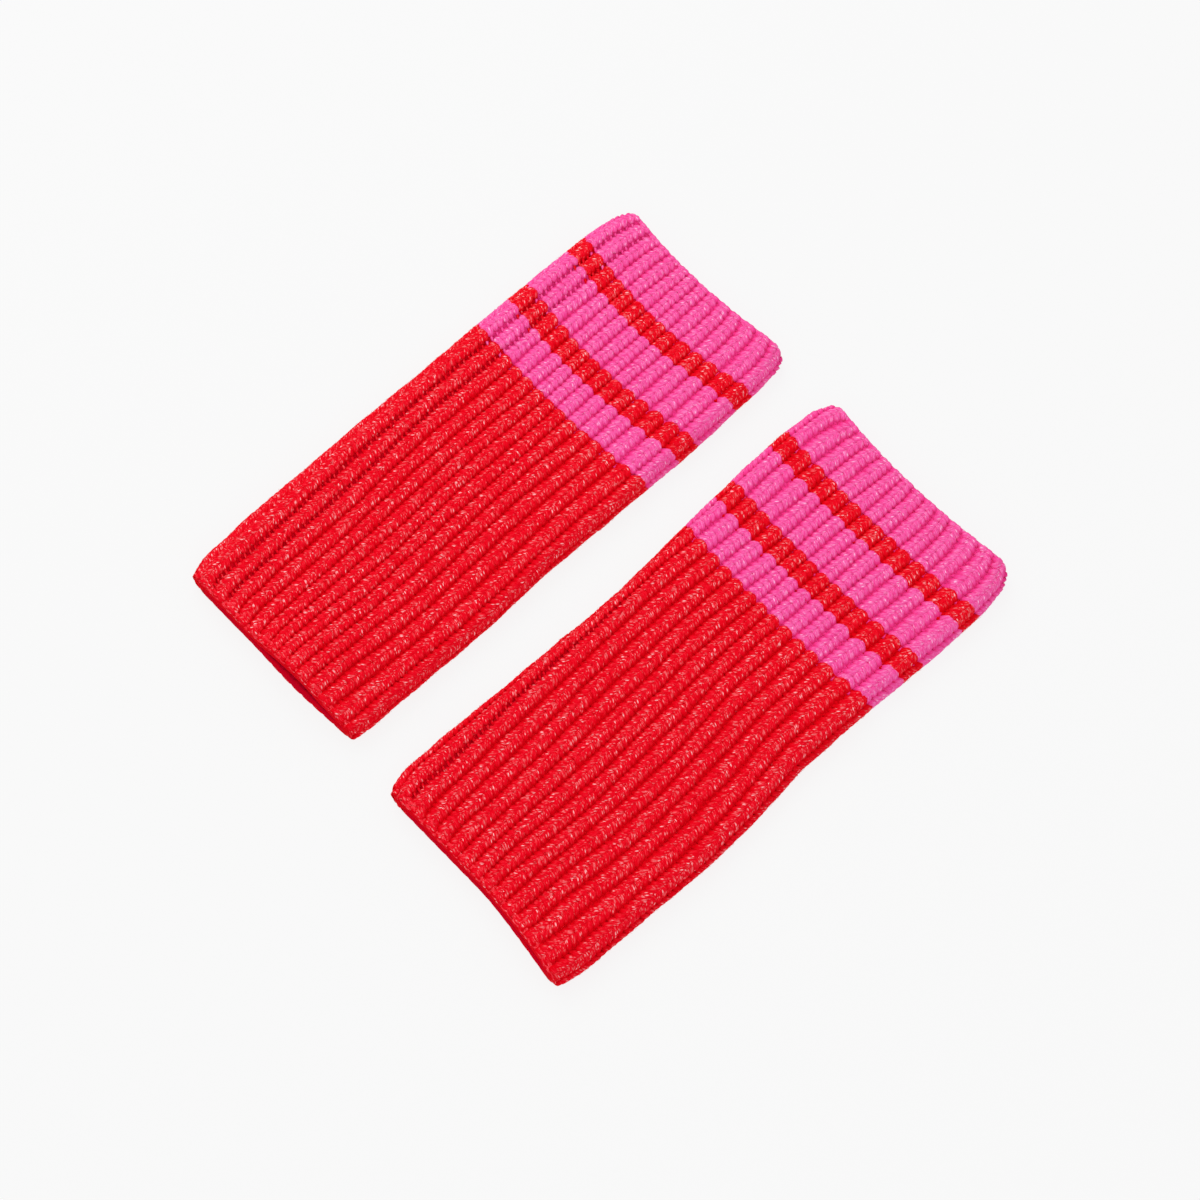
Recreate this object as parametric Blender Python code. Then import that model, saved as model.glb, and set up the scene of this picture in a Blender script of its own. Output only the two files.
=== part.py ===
"""A pair of knitted wrist warmers, lying flat side by side.

Each one is a single panel of one-by-one rib, closed into a tube by a side seam and pressed flat,
so that its two layers lie on each other. The body is red and the hand end is pink with two red
stripes. Lengths run along +Y from the red hem to the pink end, and +Z is up from the table.
"""
from collections import namedtuple

import bpy
import numpy as np

MM = 0.001

# Thickness of the knit, and how the flattened tube is built up
LAYER = 4.6 * MM
GAP = 0.8 * MM
RIB_DEPTH = 1.9 * MM
HEIGHT = 2.0 * LAYER + GAP + 0.6 * MM

# Rounding of the folded sides: the foot is below the widest point, the shoulder is above it
WIDEST_HEIGHT = 4.6 * MM
FOOT = 4.0 * MM
SHOULDER = 7.0 * MM
FOLD_WALL = 4.8 * MM

# Rounding of the open ends
EDGE_ROUNDING = 1.1 * MM
EDGE_LENGTH = 3.0 * MM
HEM_SETBACK = 0.9 * MM
SETBACK_LENGTH = 12.0 * MM

# Ribs: the points that one rib has across, and how deep each lies below the crest
POINTS_PER_RIB = 6
RIB_PROFILE = (1.0, 0.38, 0.08, 0.0, 0.08, 0.38)
RIB_FADE = 3.0 * MM
EDGE_RELIEF = 0.45
RIBS_ACROSS = 17
SHIFT_POWER = 8

# Where along the tube the rows start to bow, how soon they are fully bowed, and how soon they are
# straight again before the cuff, as shares of its length
BOW_START = 0.58
BOW_GROWTH = 0.22
BOW_FADE = 0.12

# Points that draw the curve over the crests: on each quarter turn of a fold, and along the top
TURN_POINTS = 13
TOP_POINTS = 61

# Points across the flat underside, and across each face of the hollow
UNDERSIDE_STEPS = 8
HOLLOW_STEPS = 14

# Distances from the hem at which cross-sections are cut, besides the band edges
STATIONS = tuple(MM * place for place in (
    0.0, 1.2, 3.0, 8.0, 16.0, 28.0, 42.0, 60.0, 76.0, 90.0, 101.0, 115.0, 124.0, 165.0, 191.0, 196.0))
CUFF_STATIONS = tuple(MM * place for place in (3.0, 1.2, 0.0))

Yarn = namedtuple("Yarn", "name colour roughness")
YARNS = {
    "red": Yarn("red_yarn", (0.80, 0.016, 0.026, 1.0), 0.95),
    "pink": Yarn("pink_yarn", (0.89, 0.095, 0.33, 1.0), 0.95),
}

# A band of one yarn, with its distance from the hem at which it ends
Band = namedtuple("Band", "yarn end")

# A cross-section, in millimetres: its distance from the hem, the left and right edges, how far all
# the ribs lie to the right of even spacing, and how far the side ribs spread towards the middle
Section = namedtuple("Section", "along left right drift spread")

# The shape of an open end: its place at the middle, how hollow it is, its tilt to the right,
# and how far the right-hand corner hangs out
End = namedtuple("End", "middle hollow tilt corner")

# A place where the upper layer stands off the lower one at the hem
Lift = namedtuple("Lift", "height centre half_width reach")

# A wrist warmer: its two ends, how far the rows near the cuff bow towards the hem, its yarn bands
# and its cross-sections
Warmer = namedtuple("Warmer", "name hem cuff lift bow bands sections")

LEFT_WARMER = Warmer(
    name="left_warmer",
    hem=End(middle=-98.0 * MM, hollow=0.4 * MM, tilt=0.4 * MM, corner=0.0),
    cuff=End(middle=102.6 * MM, hollow=3.4 * MM, tilt=0.0, corner=0.0),
    lift=Lift(height=4.6 * MM, centre=0.65, half_width=0.32, reach=38.0 * MM),
    bow=2.0 * MM,
    bands=(
        Band(yarn="red", end=131.5 * MM),
        Band(yarn="pink", end=145.8 * MM),
        Band(yarn="red", end=154.6 * MM),
        Band(yarn="pink", end=173.2 * MM),
        Band(yarn="red", end=180.9 * MM),
        Band(yarn="pink", end=200.6 * MM),
    ),
    sections=(
        Section(along=0.0, left=-95.4, right=-16.5, drift=-0.5, spread=3.2),
        Section(along=2.0, left=-97.2, right=-15.3, drift=-0.5, spread=3.2),
        Section(along=6.0, left=-98.5, right=-14.8, drift=-0.5, spread=3.2),
        Section(along=16.0, left=-99.2, right=-14.5, drift=-0.3, spread=3.2),
        Section(along=46.0, left=-99.4, right=-13.3, drift=-0.3, spread=2.9),
        Section(along=96.0, left=-98.7, right=-13.3, drift=-1.7, spread=2.4),
        Section(along=126.0, left=-98.1, right=-12.1, drift=-1.9, spread=2.4),
        Section(along=156.0, left=-97.6, right=-11.3, drift=-2.5, spread=2.5),
        Section(along=176.0, left=-96.7, right=-11.5, drift=-2.6, spread=2.4),
        Section(along=191.0, left=-95.6, right=-12.1, drift=-2.7, spread=2.3),
        Section(along=196.0, left=-94.3, right=-13.1, drift=-2.7, spread=2.3),
        Section(along=200.6, left=-91.7, right=-15.9, drift=-2.7, spread=2.3),
    ),
)

RIGHT_WARMER = Warmer(
    name="right_warmer",
    hem=End(middle=-101.3 * MM, hollow=0.0, tilt=0.0, corner=4.3 * MM),
    cuff=End(middle=100.8 * MM, hollow=3.4 * MM, tilt=-0.4 * MM, corner=0.0),
    lift=Lift(height=1.2 * MM, centre=0.80, half_width=0.25, reach=20.0 * MM),
    bow=0.0,
    bands=(
        Band(yarn="red", end=134.1 * MM),
        Band(yarn="pink", end=148.1 * MM),
        Band(yarn="red", end=156.8 * MM),
        Band(yarn="pink", end=174.6 * MM),
        Band(yarn="red", end=182.4 * MM),
        Band(yarn="pink", end=202.1 * MM),
    ),
    sections=(
        Section(along=0.0, left=8.2, right=90.7, drift=-2.5, spread=2.7),
        Section(along=2.0, left=5.7, right=92.3, drift=-2.5, spread=2.7),
        Section(along=6.0, left=4.3, right=93.3, drift=-2.5, spread=2.7),
        Section(along=20.0, left=4.0, right=94.7, drift=-2.7, spread=2.6),
        Section(along=40.0, left=5.0, right=96.1, drift=-3.2, spread=1.6),
        Section(along=60.0, left=5.8, right=97.2, drift=-4.1, spread=1.2),
        Section(along=75.0, left=6.5, right=97.4, drift=-5.0, spread=1.0),
        Section(along=90.0, left=7.2, right=96.6, drift=-5.3, spread=1.0),
        Section(along=101.0, left=7.3, right=95.5, drift=-5.4, spread=1.2),
        Section(along=115.0, left=7.1, right=95.9, drift=-5.5, spread=1.4),
        Section(along=150.0, left=5.7, right=97.7, drift=-3.9, spread=2.7),
        Section(along=175.0, left=5.5, right=99.2, drift=-3.6, spread=2.7),
        Section(along=190.0, left=6.3, right=98.7, drift=-2.9, spread=2.6),
        Section(along=196.0, left=7.2, right=97.4, drift=-2.5, spread=2.5),
        Section(along=202.1, left=10.3, right=93.9, drift=-2.4, spread=2.5),
    ),
)


def clear_scene():
    for item in list(bpy.data.objects):
        bpy.data.objects.remove(item, do_unlink=True)


def smooth_step(value):
    """0 below 0, 1 above 1, and an even S-curve between."""
    value = np.clip(value, 0.0, 1.0)
    return value * value * (3.0 - 2.0 * value)


def read_sections(warmer, along, column):
    """A column of the section table, read at any distance from the hem, in metres."""
    places = np.array([section.along for section in warmer.sections]) * MM
    values = np.array([getattr(section, column) for section in warmer.sections]) * MM
    slopes = np.gradient(values, places)
    index = np.clip(np.searchsorted(places, along) - 1, 0, len(places) - 2)
    step = places[index + 1] - places[index]
    part = (along - places[index]) / step
    blend = smooth_step(part)
    rise = part * (1.0 - part) ** 2 * step * slopes[index]
    fall = part ** 2 * (part - 1.0) * step * slopes[index + 1]
    return values[index] * (1.0 - blend) + values[index + 1] * blend + rise + fall


def end_line(end, across):
    """How far along the end of the knit lies, for a place across from 0 at left to 1 at right."""
    side = 2.0 * across - 1.0
    hanging = np.clip((across - 0.5) / 0.45, 0.0, None) ** 1.5
    return end.middle + end.hollow * side ** 2 + end.tilt * side - end.corner * hanging


def layer_lift(warmer, across, along):
    """How far the upper layer stands off the lower one: a soft arch that dies out from the hem."""
    lift = warmer.lift
    arch = smooth_step(1.0 - np.abs(across - lift.centre) / lift.half_width)
    return lift.height * arch * smooth_step(1.0 - along / lift.reach)


def length_of(warmer):
    return warmer.cuff.middle - warmer.hem.middle


def edge_share(warmer, along):
    """1 at either open end, falling to 0 within the rounded edge."""
    nearest = min(along, length_of(warmer) - along)
    return (1.0 - min(nearest / EDGE_LENGTH, 1.0)) ** 2


def side_curve(top):
    """One folded side, from its foot round to the top: distances in from the edge, and heights."""
    turn = np.linspace(0.0, 0.5 * np.pi, TURN_POINTS)
    inward = np.concatenate([FOOT * (1.0 - np.sin(turn)), SHOULDER * (1.0 - np.cos(turn[1:-1]))])
    rise = (top - WIDEST_HEIGHT) * np.sin(turn[1:-1])
    height = np.concatenate([WIDEST_HEIGHT * (1.0 - np.cos(turn)), WIDEST_HEIGHT + rise])
    return inward, height


def outer_curve(warmer, along):
    """The line over the rib crests, from the left foot over the top to the right foot."""
    left = read_sections(warmer, along, "left")
    right = read_sections(warmer, along, "right")
    top_x = np.linspace(left + SHOULDER, right - SHOULDER, TOP_POINTS)
    lift = layer_lift(warmer, (top_x - left) / (right - left), along)
    top_z = HEIGHT - EDGE_ROUNDING * edge_share(warmer, along) + lift
    left_in, left_z = side_curve(top_z[0])
    right_in, right_z = side_curve(top_z[-1])
    x = np.concatenate([left + left_in, top_x, (right - right_in)[::-1]])
    z = np.concatenate([left_z, top_z, right_z[::-1]])
    return x, z


def rib_place(warmer, along, rib, total):
    """Where a rib number lies along the outer curve.

    The middle ribs are drawn in and the side ones wide, and all of them shift by the drift, apart
    from the first and last, which stay at the feet.
    """
    share = rib / RIBS_ACROSS
    held = np.clip(1.0 - (2.0 * share - 1.0) ** SHIFT_POWER, 0.0, 1.0)
    spread = read_sections(warmer, along, "spread") * np.sin(2.0 * np.pi * share)
    return total * share + spread + read_sections(warmer, along, "drift") * held


def outer_ring(warmer, along):
    """The ribbed outside of one cross-section, then the flat underside back to the start."""
    x, z = outer_curve(warmer, along)
    run = np.concatenate([[0.0], np.cumsum(np.hypot(np.diff(x), np.diff(z)))])
    total = run[-1]
    rib = np.arange(RIBS_ACROSS * POINTS_PER_RIB + 1) / POINTS_PER_RIB
    place = rib_place(warmer, along, rib, total)
    depth = RIB_DEPTH * np.resize(RIB_PROFILE, len(rib))
    depth *= smooth_step(place / RIB_FADE) * smooth_step((total - place) / RIB_FADE)
    depth *= 1.0 - (1.0 - EDGE_RELIEF) * edge_share(warmer, along)
    point_x = np.interp(place, run, x)
    point_z = np.interp(place, run, z)
    slope_x = np.interp(place, run, np.gradient(x, run))
    slope_z = np.interp(place, run, np.gradient(z, run))
    size = np.hypot(slope_x, slope_z)
    point_x += depth * slope_z / size
    point_z -= depth * slope_x / size
    under_x = np.linspace(point_x[-1], point_x[0], UNDERSIDE_STEPS + 1)[1:-1]
    return np.concatenate([point_x, under_x]), np.concatenate([point_z, np.zeros_like(under_x)])


def row_bow(warmer, across, along):
    """How far a row's middle hangs towards the hem: it grows past the red body and fades at the cuff."""
    share = along / length_of(warmer)
    reach = smooth_step((share - BOW_START) / BOW_GROWTH) * smooth_step((1.0 - share) / BOW_FADE)
    return warmer.bow * reach * (1.0 - (2.0 * across - 1.0) ** 2)


def hollow_ring(warmer, along):
    """The plain inside of one cross-section: its upper face, then its lower face back again."""
    left = read_sections(warmer, along, "left")
    right = read_sections(warmer, along, "right")
    x = np.linspace(left + FOLD_WALL, right - FOLD_WALL, HOLLOW_STEPS + 1)
    upper = LAYER + GAP + layer_lift(warmer, (x - left) / (right - left), along)
    return np.concatenate([x, x[::-1]]), np.concatenate([upper, np.full_like(x, LAYER)])


def place_ring(warmer, along, x, z):
    """Puts a ring into the part's frame, along the curved rows of the knit."""
    left = read_sections(warmer, along, "left")
    right = read_sections(warmer, along, "right")
    across = np.clip((x - left) / (right - left), 0.0, 1.0)
    share = along / length_of(warmer)
    y = end_line(warmer.hem, across) * (1.0 - share) + end_line(warmer.cuff, across) * share
    y = y - row_bow(warmer, across, along)
    y = y + HEM_SETBACK * (z / HEIGHT) * smooth_step(1.0 - along / SETBACK_LENGTH)
    return np.stack([x, y, z], axis=1)


def stations_of(warmer):
    """Every distance from the hem at which the tube has a ring of points."""
    edges = [band.end for band in warmer.bands[:-1]]
    near_cuff = [length_of(warmer) - place for place in CUFF_STATIONS]
    return sorted(set(STATIONS) | set(edges) | set(near_cuff))


def walk_between(outer_run, inner_run, reach):
    """Triangles between two runs of points, stepping each time along the run that lags behind."""
    faces = []
    i = 0
    j = 0
    while i + 1 < len(outer_run) or j + 1 < len(inner_run):
        step_outer = j + 1 == len(inner_run)
        if i + 1 < len(outer_run) and j + 1 < len(inner_run):
            step_outer = reach[outer_run[i + 1]] <= reach[inner_run[j + 1]]
        if step_outer:
            faces.append((outer_run[i], outer_run[i + 1], inner_run[j]))
            i += 1
        else:
            faces.append((outer_run[i], inner_run[j + 1], inner_run[j]))
            j += 1
    return faces


def close_end(outer, inner, points):
    """The cut edge of the knit at one open end, from the outer ring in to the hollow's ring."""
    across = {index: points[index][0] for index in outer + inner}
    back = {index: -place for index, place in across.items()}
    last_top = len(outer) - UNDERSIDE_STEPS
    lower_left = inner[-1]
    upper_face = inner[:HOLLOW_STEPS + 1]
    lower_face = inner[HOLLOW_STEPS + 1:]
    over = walk_between(outer[:last_top + 1], [lower_left] + upper_face + lower_face[:1], across)
    under = walk_between(outer[last_top:] + outer[:1], lower_face, back)
    return over + under


def tube_wall(rings):
    """Quads between neighbouring rings of point numbers, with the station that each belongs to."""
    faces = []
    station = []
    for place, (first, second) in enumerate(zip(rings, rings[1:])):
        following = first[1:] + first[:1]
        beyond = second[1:] + second[:1]
        faces += list(zip(first, following, beyond, second))
        station += [place] * len(first)
    return faces, station


def yarn_at(warmer, along):
    """The number of the yarn, 0 for red and 1 for pink, that is knitted at a distance from the hem."""
    ahead = [band.yarn for band in warmer.bands[:-1] if along < band.end]
    return list(YARNS).index(ahead[0] if ahead else warmer.bands[-1].yarn)


def make_yarn_material(yarn):
    material = bpy.data.materials.get(yarn.name) or bpy.data.materials.new(yarn.name)
    material.use_nodes = True
    shader = material.node_tree.nodes["Principled BSDF"]
    shader.inputs["Base Color"].default_value = yarn.colour
    shader.inputs["Roughness"].default_value = yarn.roughness
    shader.inputs["Metallic"].default_value = 0.0
    material.diffuse_color = yarn.colour
    return material


def build_warmer(warmer, materials):
    """One closed body: ribbed outside, plain hollow inside, both ends open."""
    stations = stations_of(warmer)
    outer_points = [place_ring(warmer, along, *outer_ring(warmer, along)) for along in stations]
    inner_points = [place_ring(warmer, along, *hollow_ring(warmer, along)) for along in stations]
    points = np.concatenate(outer_points + inner_points)
    numbers = np.arange(len(points))
    outer_count = sum(len(ring) for ring in outer_points)
    outer = [list(ring) for ring in numbers[:outer_count].reshape(len(stations), -1).tolist()]
    inner = [list(ring) for ring in numbers[outer_count:].reshape(len(stations), -1).tolist()]

    outer_faces, outer_station = tube_wall(outer)
    inner_faces, inner_station = tube_wall(inner)
    hem_faces = close_end(outer[0], inner[0], points)
    cuff_faces = close_end(outer[-1], inner[-1], points)
    wall = outer_faces + [face[::-1] for face in inner_faces]
    faces = wall + [face[::-1] for face in hem_faces] + cuff_faces
    yarns = [yarn_at(warmer, stations[place]) for place in outer_station + inner_station]
    yarns += [yarn_at(warmer, stations[0])] * len(hem_faces)
    yarns += [yarn_at(warmer, stations[-1])] * len(cuff_faces)

    mesh = bpy.data.meshes.new(warmer.name)
    mesh.from_pydata(points.tolist(), [], faces)
    for material in materials:
        mesh.materials.append(material)
    mesh.polygons.foreach_set("material_index", yarns)
    mesh.polygons.foreach_set("use_smooth", [True] * len(faces))
    mesh.update()
    item = bpy.data.objects.new(warmer.name, mesh)
    bpy.context.scene.collection.objects.link(item)
    return item


def main():
    clear_scene()
    materials = [make_yarn_material(yarn) for yarn in YARNS.values()]
    pair = bpy.data.objects.new("pair_of_wrist_warmers", None)
    bpy.context.scene.collection.objects.link(pair)
    for warmer in (LEFT_WARMER, RIGHT_WARMER):
        item = build_warmer(warmer, materials)
        item.parent = pair


main()
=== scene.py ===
"""The looks of a pair of knitted wrist warmers, laid flat side by side.

Each warmer is a tube of one-by-one rib in soft melange yarn: a ground wall, the knit stitches on
its ribs, the purl bars in its valleys, the chains along its ends, a side seam and loose fibres.
Rib numbers run across from the left foot to the right foot, and places along run from the red hem.
"""
import math
from collections import namedtuple

import bpy
import numpy as np
from bpy.props import FloatProperty, FloatVectorProperty, IntProperty, PointerProperty
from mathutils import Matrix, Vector


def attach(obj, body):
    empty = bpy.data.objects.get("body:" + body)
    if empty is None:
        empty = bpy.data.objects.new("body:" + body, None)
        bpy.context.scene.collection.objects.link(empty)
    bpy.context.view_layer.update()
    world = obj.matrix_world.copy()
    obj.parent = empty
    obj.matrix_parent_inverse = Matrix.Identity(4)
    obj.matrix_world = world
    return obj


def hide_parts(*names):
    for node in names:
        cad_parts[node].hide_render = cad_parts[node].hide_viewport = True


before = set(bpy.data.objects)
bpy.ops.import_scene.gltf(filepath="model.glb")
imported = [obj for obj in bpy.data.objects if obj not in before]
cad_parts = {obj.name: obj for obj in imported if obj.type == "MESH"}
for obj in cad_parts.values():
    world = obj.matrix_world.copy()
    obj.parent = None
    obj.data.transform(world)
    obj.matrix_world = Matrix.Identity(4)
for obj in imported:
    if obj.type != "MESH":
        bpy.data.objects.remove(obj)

bl_info = {
    "name": "Knitted wrist warmers",
    "version": (1, 0, 0),
    "blender": (4, 5, 0),
    "location": "3D View > Sidebar > Wrist warmers",
    "description": "Builds the yarn, edges and fuzz of a pair of ribbed wrist warmers",
    "category": "Add Mesh",
}

MM = 0.001
BODY = "root"

# The flattened tube, as in the solids: the thickness of a layer and the gap between the two, the
# height over the ribs and that of the widest line, how far the foot and the shoulder of a folded side
# are drawn in, and the wall's thickness at the fold
LAYER = 4.6 * MM
GAP = 0.8 * MM
HEIGHT = 2.0 * LAYER + GAP + 0.6 * MM
WIDEST_HEIGHT = 4.6 * MM
FOOT = 4.0 * MM
SHOULDER = 7.0 * MM
FOLD_WALL = 4.8 * MM

# The open ends: how far and over what length their edges are rounded down, how far and over what
# length the upper hem is set back, and how far the lower hem gives way under the lifted one
EDGE_ROUNDING = 1.1 * MM
EDGE_LENGTH = 3.0 * MM
HEM_SETBACK = 0.9 * MM
SETBACK_LENGTH = 12.0 * MM
HEM_SAG = 0.15

# The ribs over the top and those of the underside, and how sharply their drift ends at the sides
RIBS_ACROSS = 17
RIBS_UNDER = 14
SHIFT_POWER = 8

# The corner that hangs out at a hem: where across it starts, over what share of the width, and its
# power
HANG_START = 0.5
HANG_SHARE = 0.45
HANG_POWER = 1.5

# The two yarns, by their number
RED, PINK = 0, 1

# Where along the tube the rows start to bow, how soon they are fully bowed, and how soon they are
# straight again before the cuff, as shares of its length
BOW_START = 0.58
BOW_GROWTH = 0.22
BOW_FADE = 0.12

# How far the corners of the hem and of the cuff are rounded off, how far in along the tube that is
# felt, and where across it starts, as a share of the way from the middle to the side
HEM_CORNER = 0.7 * MM
CUFF_CORNER = 2.2 * MM
CORNER_LENGTH = 14.0 * MM
CORNER_START = 0.86

# How finely the surface is read, and how finely the ground wall is meshed
TURN_POINTS = 13
TOP_POINTS = 61
READ_PER_RIB = 8
READ_ALONG = 120
WALL_PER_RIB = 6
WALL_ALONG = 76
EDGE_STEPS = (0.0, 0.5 * MM, 1.2 * MM, 2.0 * MM, 3.0 * MM)

# The ribs wander and swell a little: size, wave length along, and change of phase from rib to rib
WANDER = ((0.030, 61.0 * MM, 1.7), (0.020, 23.0 * MM, -2.9))
SWELL = ((0.12 * MM, 47.0 * MM, 2.3), (0.08 * MM, 17.0 * MM, -1.3))

# A band of one yarn: its yarn, its rows of stitches, and how far from the hem it ends
Band = namedtuple("Band", "yarn rows end")

# A cross-section, in millimetres: its distance from the hem, the left and right edges, how far all
# the ribs lie to the right of even spacing, and how far the side ribs spread towards the middle
Section = namedtuple("Section", "along left right drift spread")

# The shape of an open end: its middle, how hollow it is, its tilt and how far its corner hangs out
End = namedtuple("End", "middle hollow tilt corner")

# A place where the upper layer stands off the lower one at the hem
Lift = namedtuple("Lift", "height centre half_width reach")

# A wrist warmer: its ends, the bow of its rows, its bands, the valleys of its seam and where the seam
# sinks out of sight, the valleys that are stretched shallow, its seed for random numbers and its
# cross-sections
Warmer = namedtuple("Warmer", "side hem cuff lift bow bands seams seam_end shallow seed sections")

WARMERS = (
    Warmer(
        side="left",
        hem=End(middle=-98.0 * MM, hollow=0.4 * MM, tilt=0.4 * MM, corner=0.0),
        cuff=End(middle=102.6 * MM, hollow=3.4 * MM, tilt=0.0, corner=0.0),
        lift=Lift(height=4.6 * MM, centre=0.65, half_width=0.32, reach=38.0 * MM),
        bow=2.0 * MM,
        bands=(
            Band(RED, 61, 131.5 * MM),
            Band(PINK, 6, 145.8 * MM),
            Band(RED, 4, 154.6 * MM),
            Band(PINK, 8, 173.2 * MM),
            Band(RED, 4, 180.9 * MM),
            Band(PINK, 9, 200.6 * MM),
        ),
        seams=(3, 4),
        seam_end=240.0 * MM,
        shallow=(1, 2),
        seed=11,
        sections=(
            Section(0.0, -95.4, -16.5, -0.5, 3.2),
            Section(2.0, -97.2, -15.3, -0.5, 3.2),
            Section(6.0, -98.5, -14.8, -0.5, 3.2),
            Section(16.0, -99.2, -14.5, -0.3, 3.2),
            Section(46.0, -99.4, -13.3, -0.3, 2.9),
            Section(96.0, -98.7, -13.3, -1.7, 2.4),
            Section(126.0, -98.1, -12.1, -1.9, 2.4),
            Section(156.0, -97.6, -11.3, -2.5, 2.5),
            Section(176.0, -96.7, -11.5, -2.6, 2.4),
            Section(191.0, -95.6, -12.1, -2.7, 2.3),
            Section(196.0, -94.3, -13.1, -2.7, 2.3),
            Section(200.6, -91.7, -15.9, -2.7, 2.3),
        ),
    ),
    Warmer(
        side="right",
        hem=End(middle=-101.3 * MM, hollow=0.0, tilt=0.0, corner=4.3 * MM),
        cuff=End(middle=100.8 * MM, hollow=3.4 * MM, tilt=-0.4 * MM, corner=0.0),
        lift=Lift(height=1.2 * MM, centre=0.80, half_width=0.25, reach=20.0 * MM),
        bow=0.0,
        bands=(
            Band(RED, 61, 134.1 * MM),
            Band(PINK, 6, 148.1 * MM),
            Band(RED, 4, 156.8 * MM),
            Band(PINK, 8, 174.6 * MM),
            Band(RED, 4, 182.4 * MM),
            Band(PINK, 9, 202.1 * MM),
        ),
        seams=(3,),
        seam_end=118.0 * MM,
        shallow=(1,),
        seed=23,
        sections=(
            Section(0.0, 8.2, 90.7, -2.5, 2.7),
            Section(2.0, 5.7, 92.3, -2.5, 2.7),
            Section(6.0, 4.3, 93.3, -2.5, 2.7),
            Section(20.0, 4.0, 94.7, -2.7, 2.6),
            Section(40.0, 5.0, 96.1, -3.2, 1.6),
            Section(60.0, 5.8, 97.2, -4.1, 1.2),
            Section(75.0, 6.5, 97.4, -5.0, 1.0),
            Section(90.0, 7.2, 96.6, -5.3, 1.0),
            Section(101.0, 7.3, 95.5, -5.4, 1.2),
            Section(115.0, 7.1, 95.9, -5.5, 1.4),
            Section(150.0, 5.7, 97.7, -3.9, 2.7),
            Section(175.0, 5.5, 99.2, -3.6, 2.7),
            Section(190.0, 6.3, 98.7, -2.9, 2.6),
            Section(196.0, 7.2, 97.4, -2.5, 2.5),
            Section(202.1, 10.3, 93.9, -2.4, 2.5),
        ),
    ),
)

# The camera: its aim on the table, direction, lens and the width that it sees there
AIM = (4.45 * MM, -2.6 * MM, 0.0)
AZIMUTH = math.radians(46.0)
ELEVATION = math.radians(70.0)
LENS = 85.0
SENSOR = 36.0
SEEN_WIDTH = 408.0 * MM


# Shape of the flattened tube


def smooth_step(value):
    """0 below 0, 1 above 1, and an even S-curve between."""
    value = np.clip(value, 0.0, 1.0)
    return value * value * (3.0 - 2.0 * value)


def read_sections(warmer, along, column):
    """A column of the section table at any distance from the hem, by a cubic curve through its rows."""
    places = np.array([section.along for section in warmer.sections]) * MM
    values = np.array([getattr(section, column) for section in warmer.sections]) * MM
    slopes = np.gradient(values, places)
    along = np.clip(along, places[0], places[-1])
    index = np.clip(np.searchsorted(places, along) - 1, 0, len(places) - 2)
    step = places[index + 1] - places[index]
    part = (along - places[index]) / step
    blend = smooth_step(part)
    rise = part * (1.0 - part) ** 2 * step * slopes[index]
    fall = part ** 2 * (part - 1.0) * step * slopes[index + 1]
    return values[index] * (1.0 - blend) + values[index + 1] * blend + rise + fall


def edges_of(warmer, along):
    """The left and the right edge of the tube at any distance from the hem."""
    return read_sections(warmer, along, "left"), read_sections(warmer, along, "right")


def end_line(end, across, hang=1.0):
    """Where the end of the knit lies: a shallow curve, tilted, with one corner that hangs out."""
    side = 2.0 * across - 1.0
    hanging = np.clip((across - HANG_START) / HANG_SHARE, 0.0, None) ** HANG_POWER
    return end.middle + end.hollow * side ** 2 + end.tilt * side - end.corner * hanging * hang


def layer_lift(warmer, across, along):
    """How far the upper layer stands off the lower one: a soft arch that dies out from the hem."""
    lift = warmer.lift
    arch = smooth_step(1.0 - np.abs(across - lift.centre) / lift.half_width)
    return lift.height * arch * smooth_step(1.0 - along / lift.reach)


def length_of(warmer):
    return warmer.cuff.middle - warmer.hem.middle


def places_along(length, count):
    """Distances from the hem: close together at both ends, where the edge is rounded, even between."""
    edge = np.array(EDGE_STEPS)
    inner = np.linspace(edge[-1], length - edge[-1], count)[1:-1]
    return np.concatenate([edge, inner, length - edge[::-1]])


def edge_share(warmer, along):
    """1 at either open end, falling to 0 within the rounded edge."""
    nearest = np.minimum(along, length_of(warmer) - along)
    return (1.0 - np.clip(nearest / EDGE_LENGTH, 0.0, 1.0)) ** 2


def side_curve(top):
    """One folded side, two quarter ellipses from the foot round to the top."""
    turn = np.linspace(0.0, 0.5 * np.pi, TURN_POINTS)
    inward = np.concatenate([FOOT * (1.0 - np.sin(turn)), SHOULDER * (1.0 - np.cos(turn[1:-1]))])
    rise = (top - WIDEST_HEIGHT) * np.sin(turn[1:-1])
    height = np.concatenate([WIDEST_HEIGHT * (1.0 - np.cos(turn)), WIDEST_HEIGHT + rise])
    return inward, height


def outer_curve(warmer, along):
    """The line over the rib crests in one cross-section, from the left foot to the right foot."""
    left, right = edges_of(warmer, along)
    top_x = np.linspace(left + SHOULDER, right - SHOULDER, TOP_POINTS)
    lift = layer_lift(warmer, (top_x - left) / (right - left), along)
    top_z = HEIGHT - EDGE_ROUNDING * edge_share(warmer, along) + lift
    left_in, left_z = side_curve(top_z[0])
    right_in, right_z = side_curve(top_z[-1])
    x = np.concatenate([left + left_in, top_x, (right - right_in)[::-1]])
    z = np.concatenate([left_z, top_z, right_z[::-1]])
    return x, z


def rib_place(warmer, along, rib, total):
    """Where a rib number lies along the curve: middle ribs drawn in, side ribs wide, all shifted."""
    share = rib / RIBS_ACROSS
    held = np.clip(1.0 - (2.0 * share - 1.0) ** SHIFT_POWER, 0.0, 1.0)
    spread = read_sections(warmer, along, "spread") * np.sin(2.0 * np.pi * share)
    return total * share + spread + read_sections(warmer, along, "drift") * held


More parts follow.
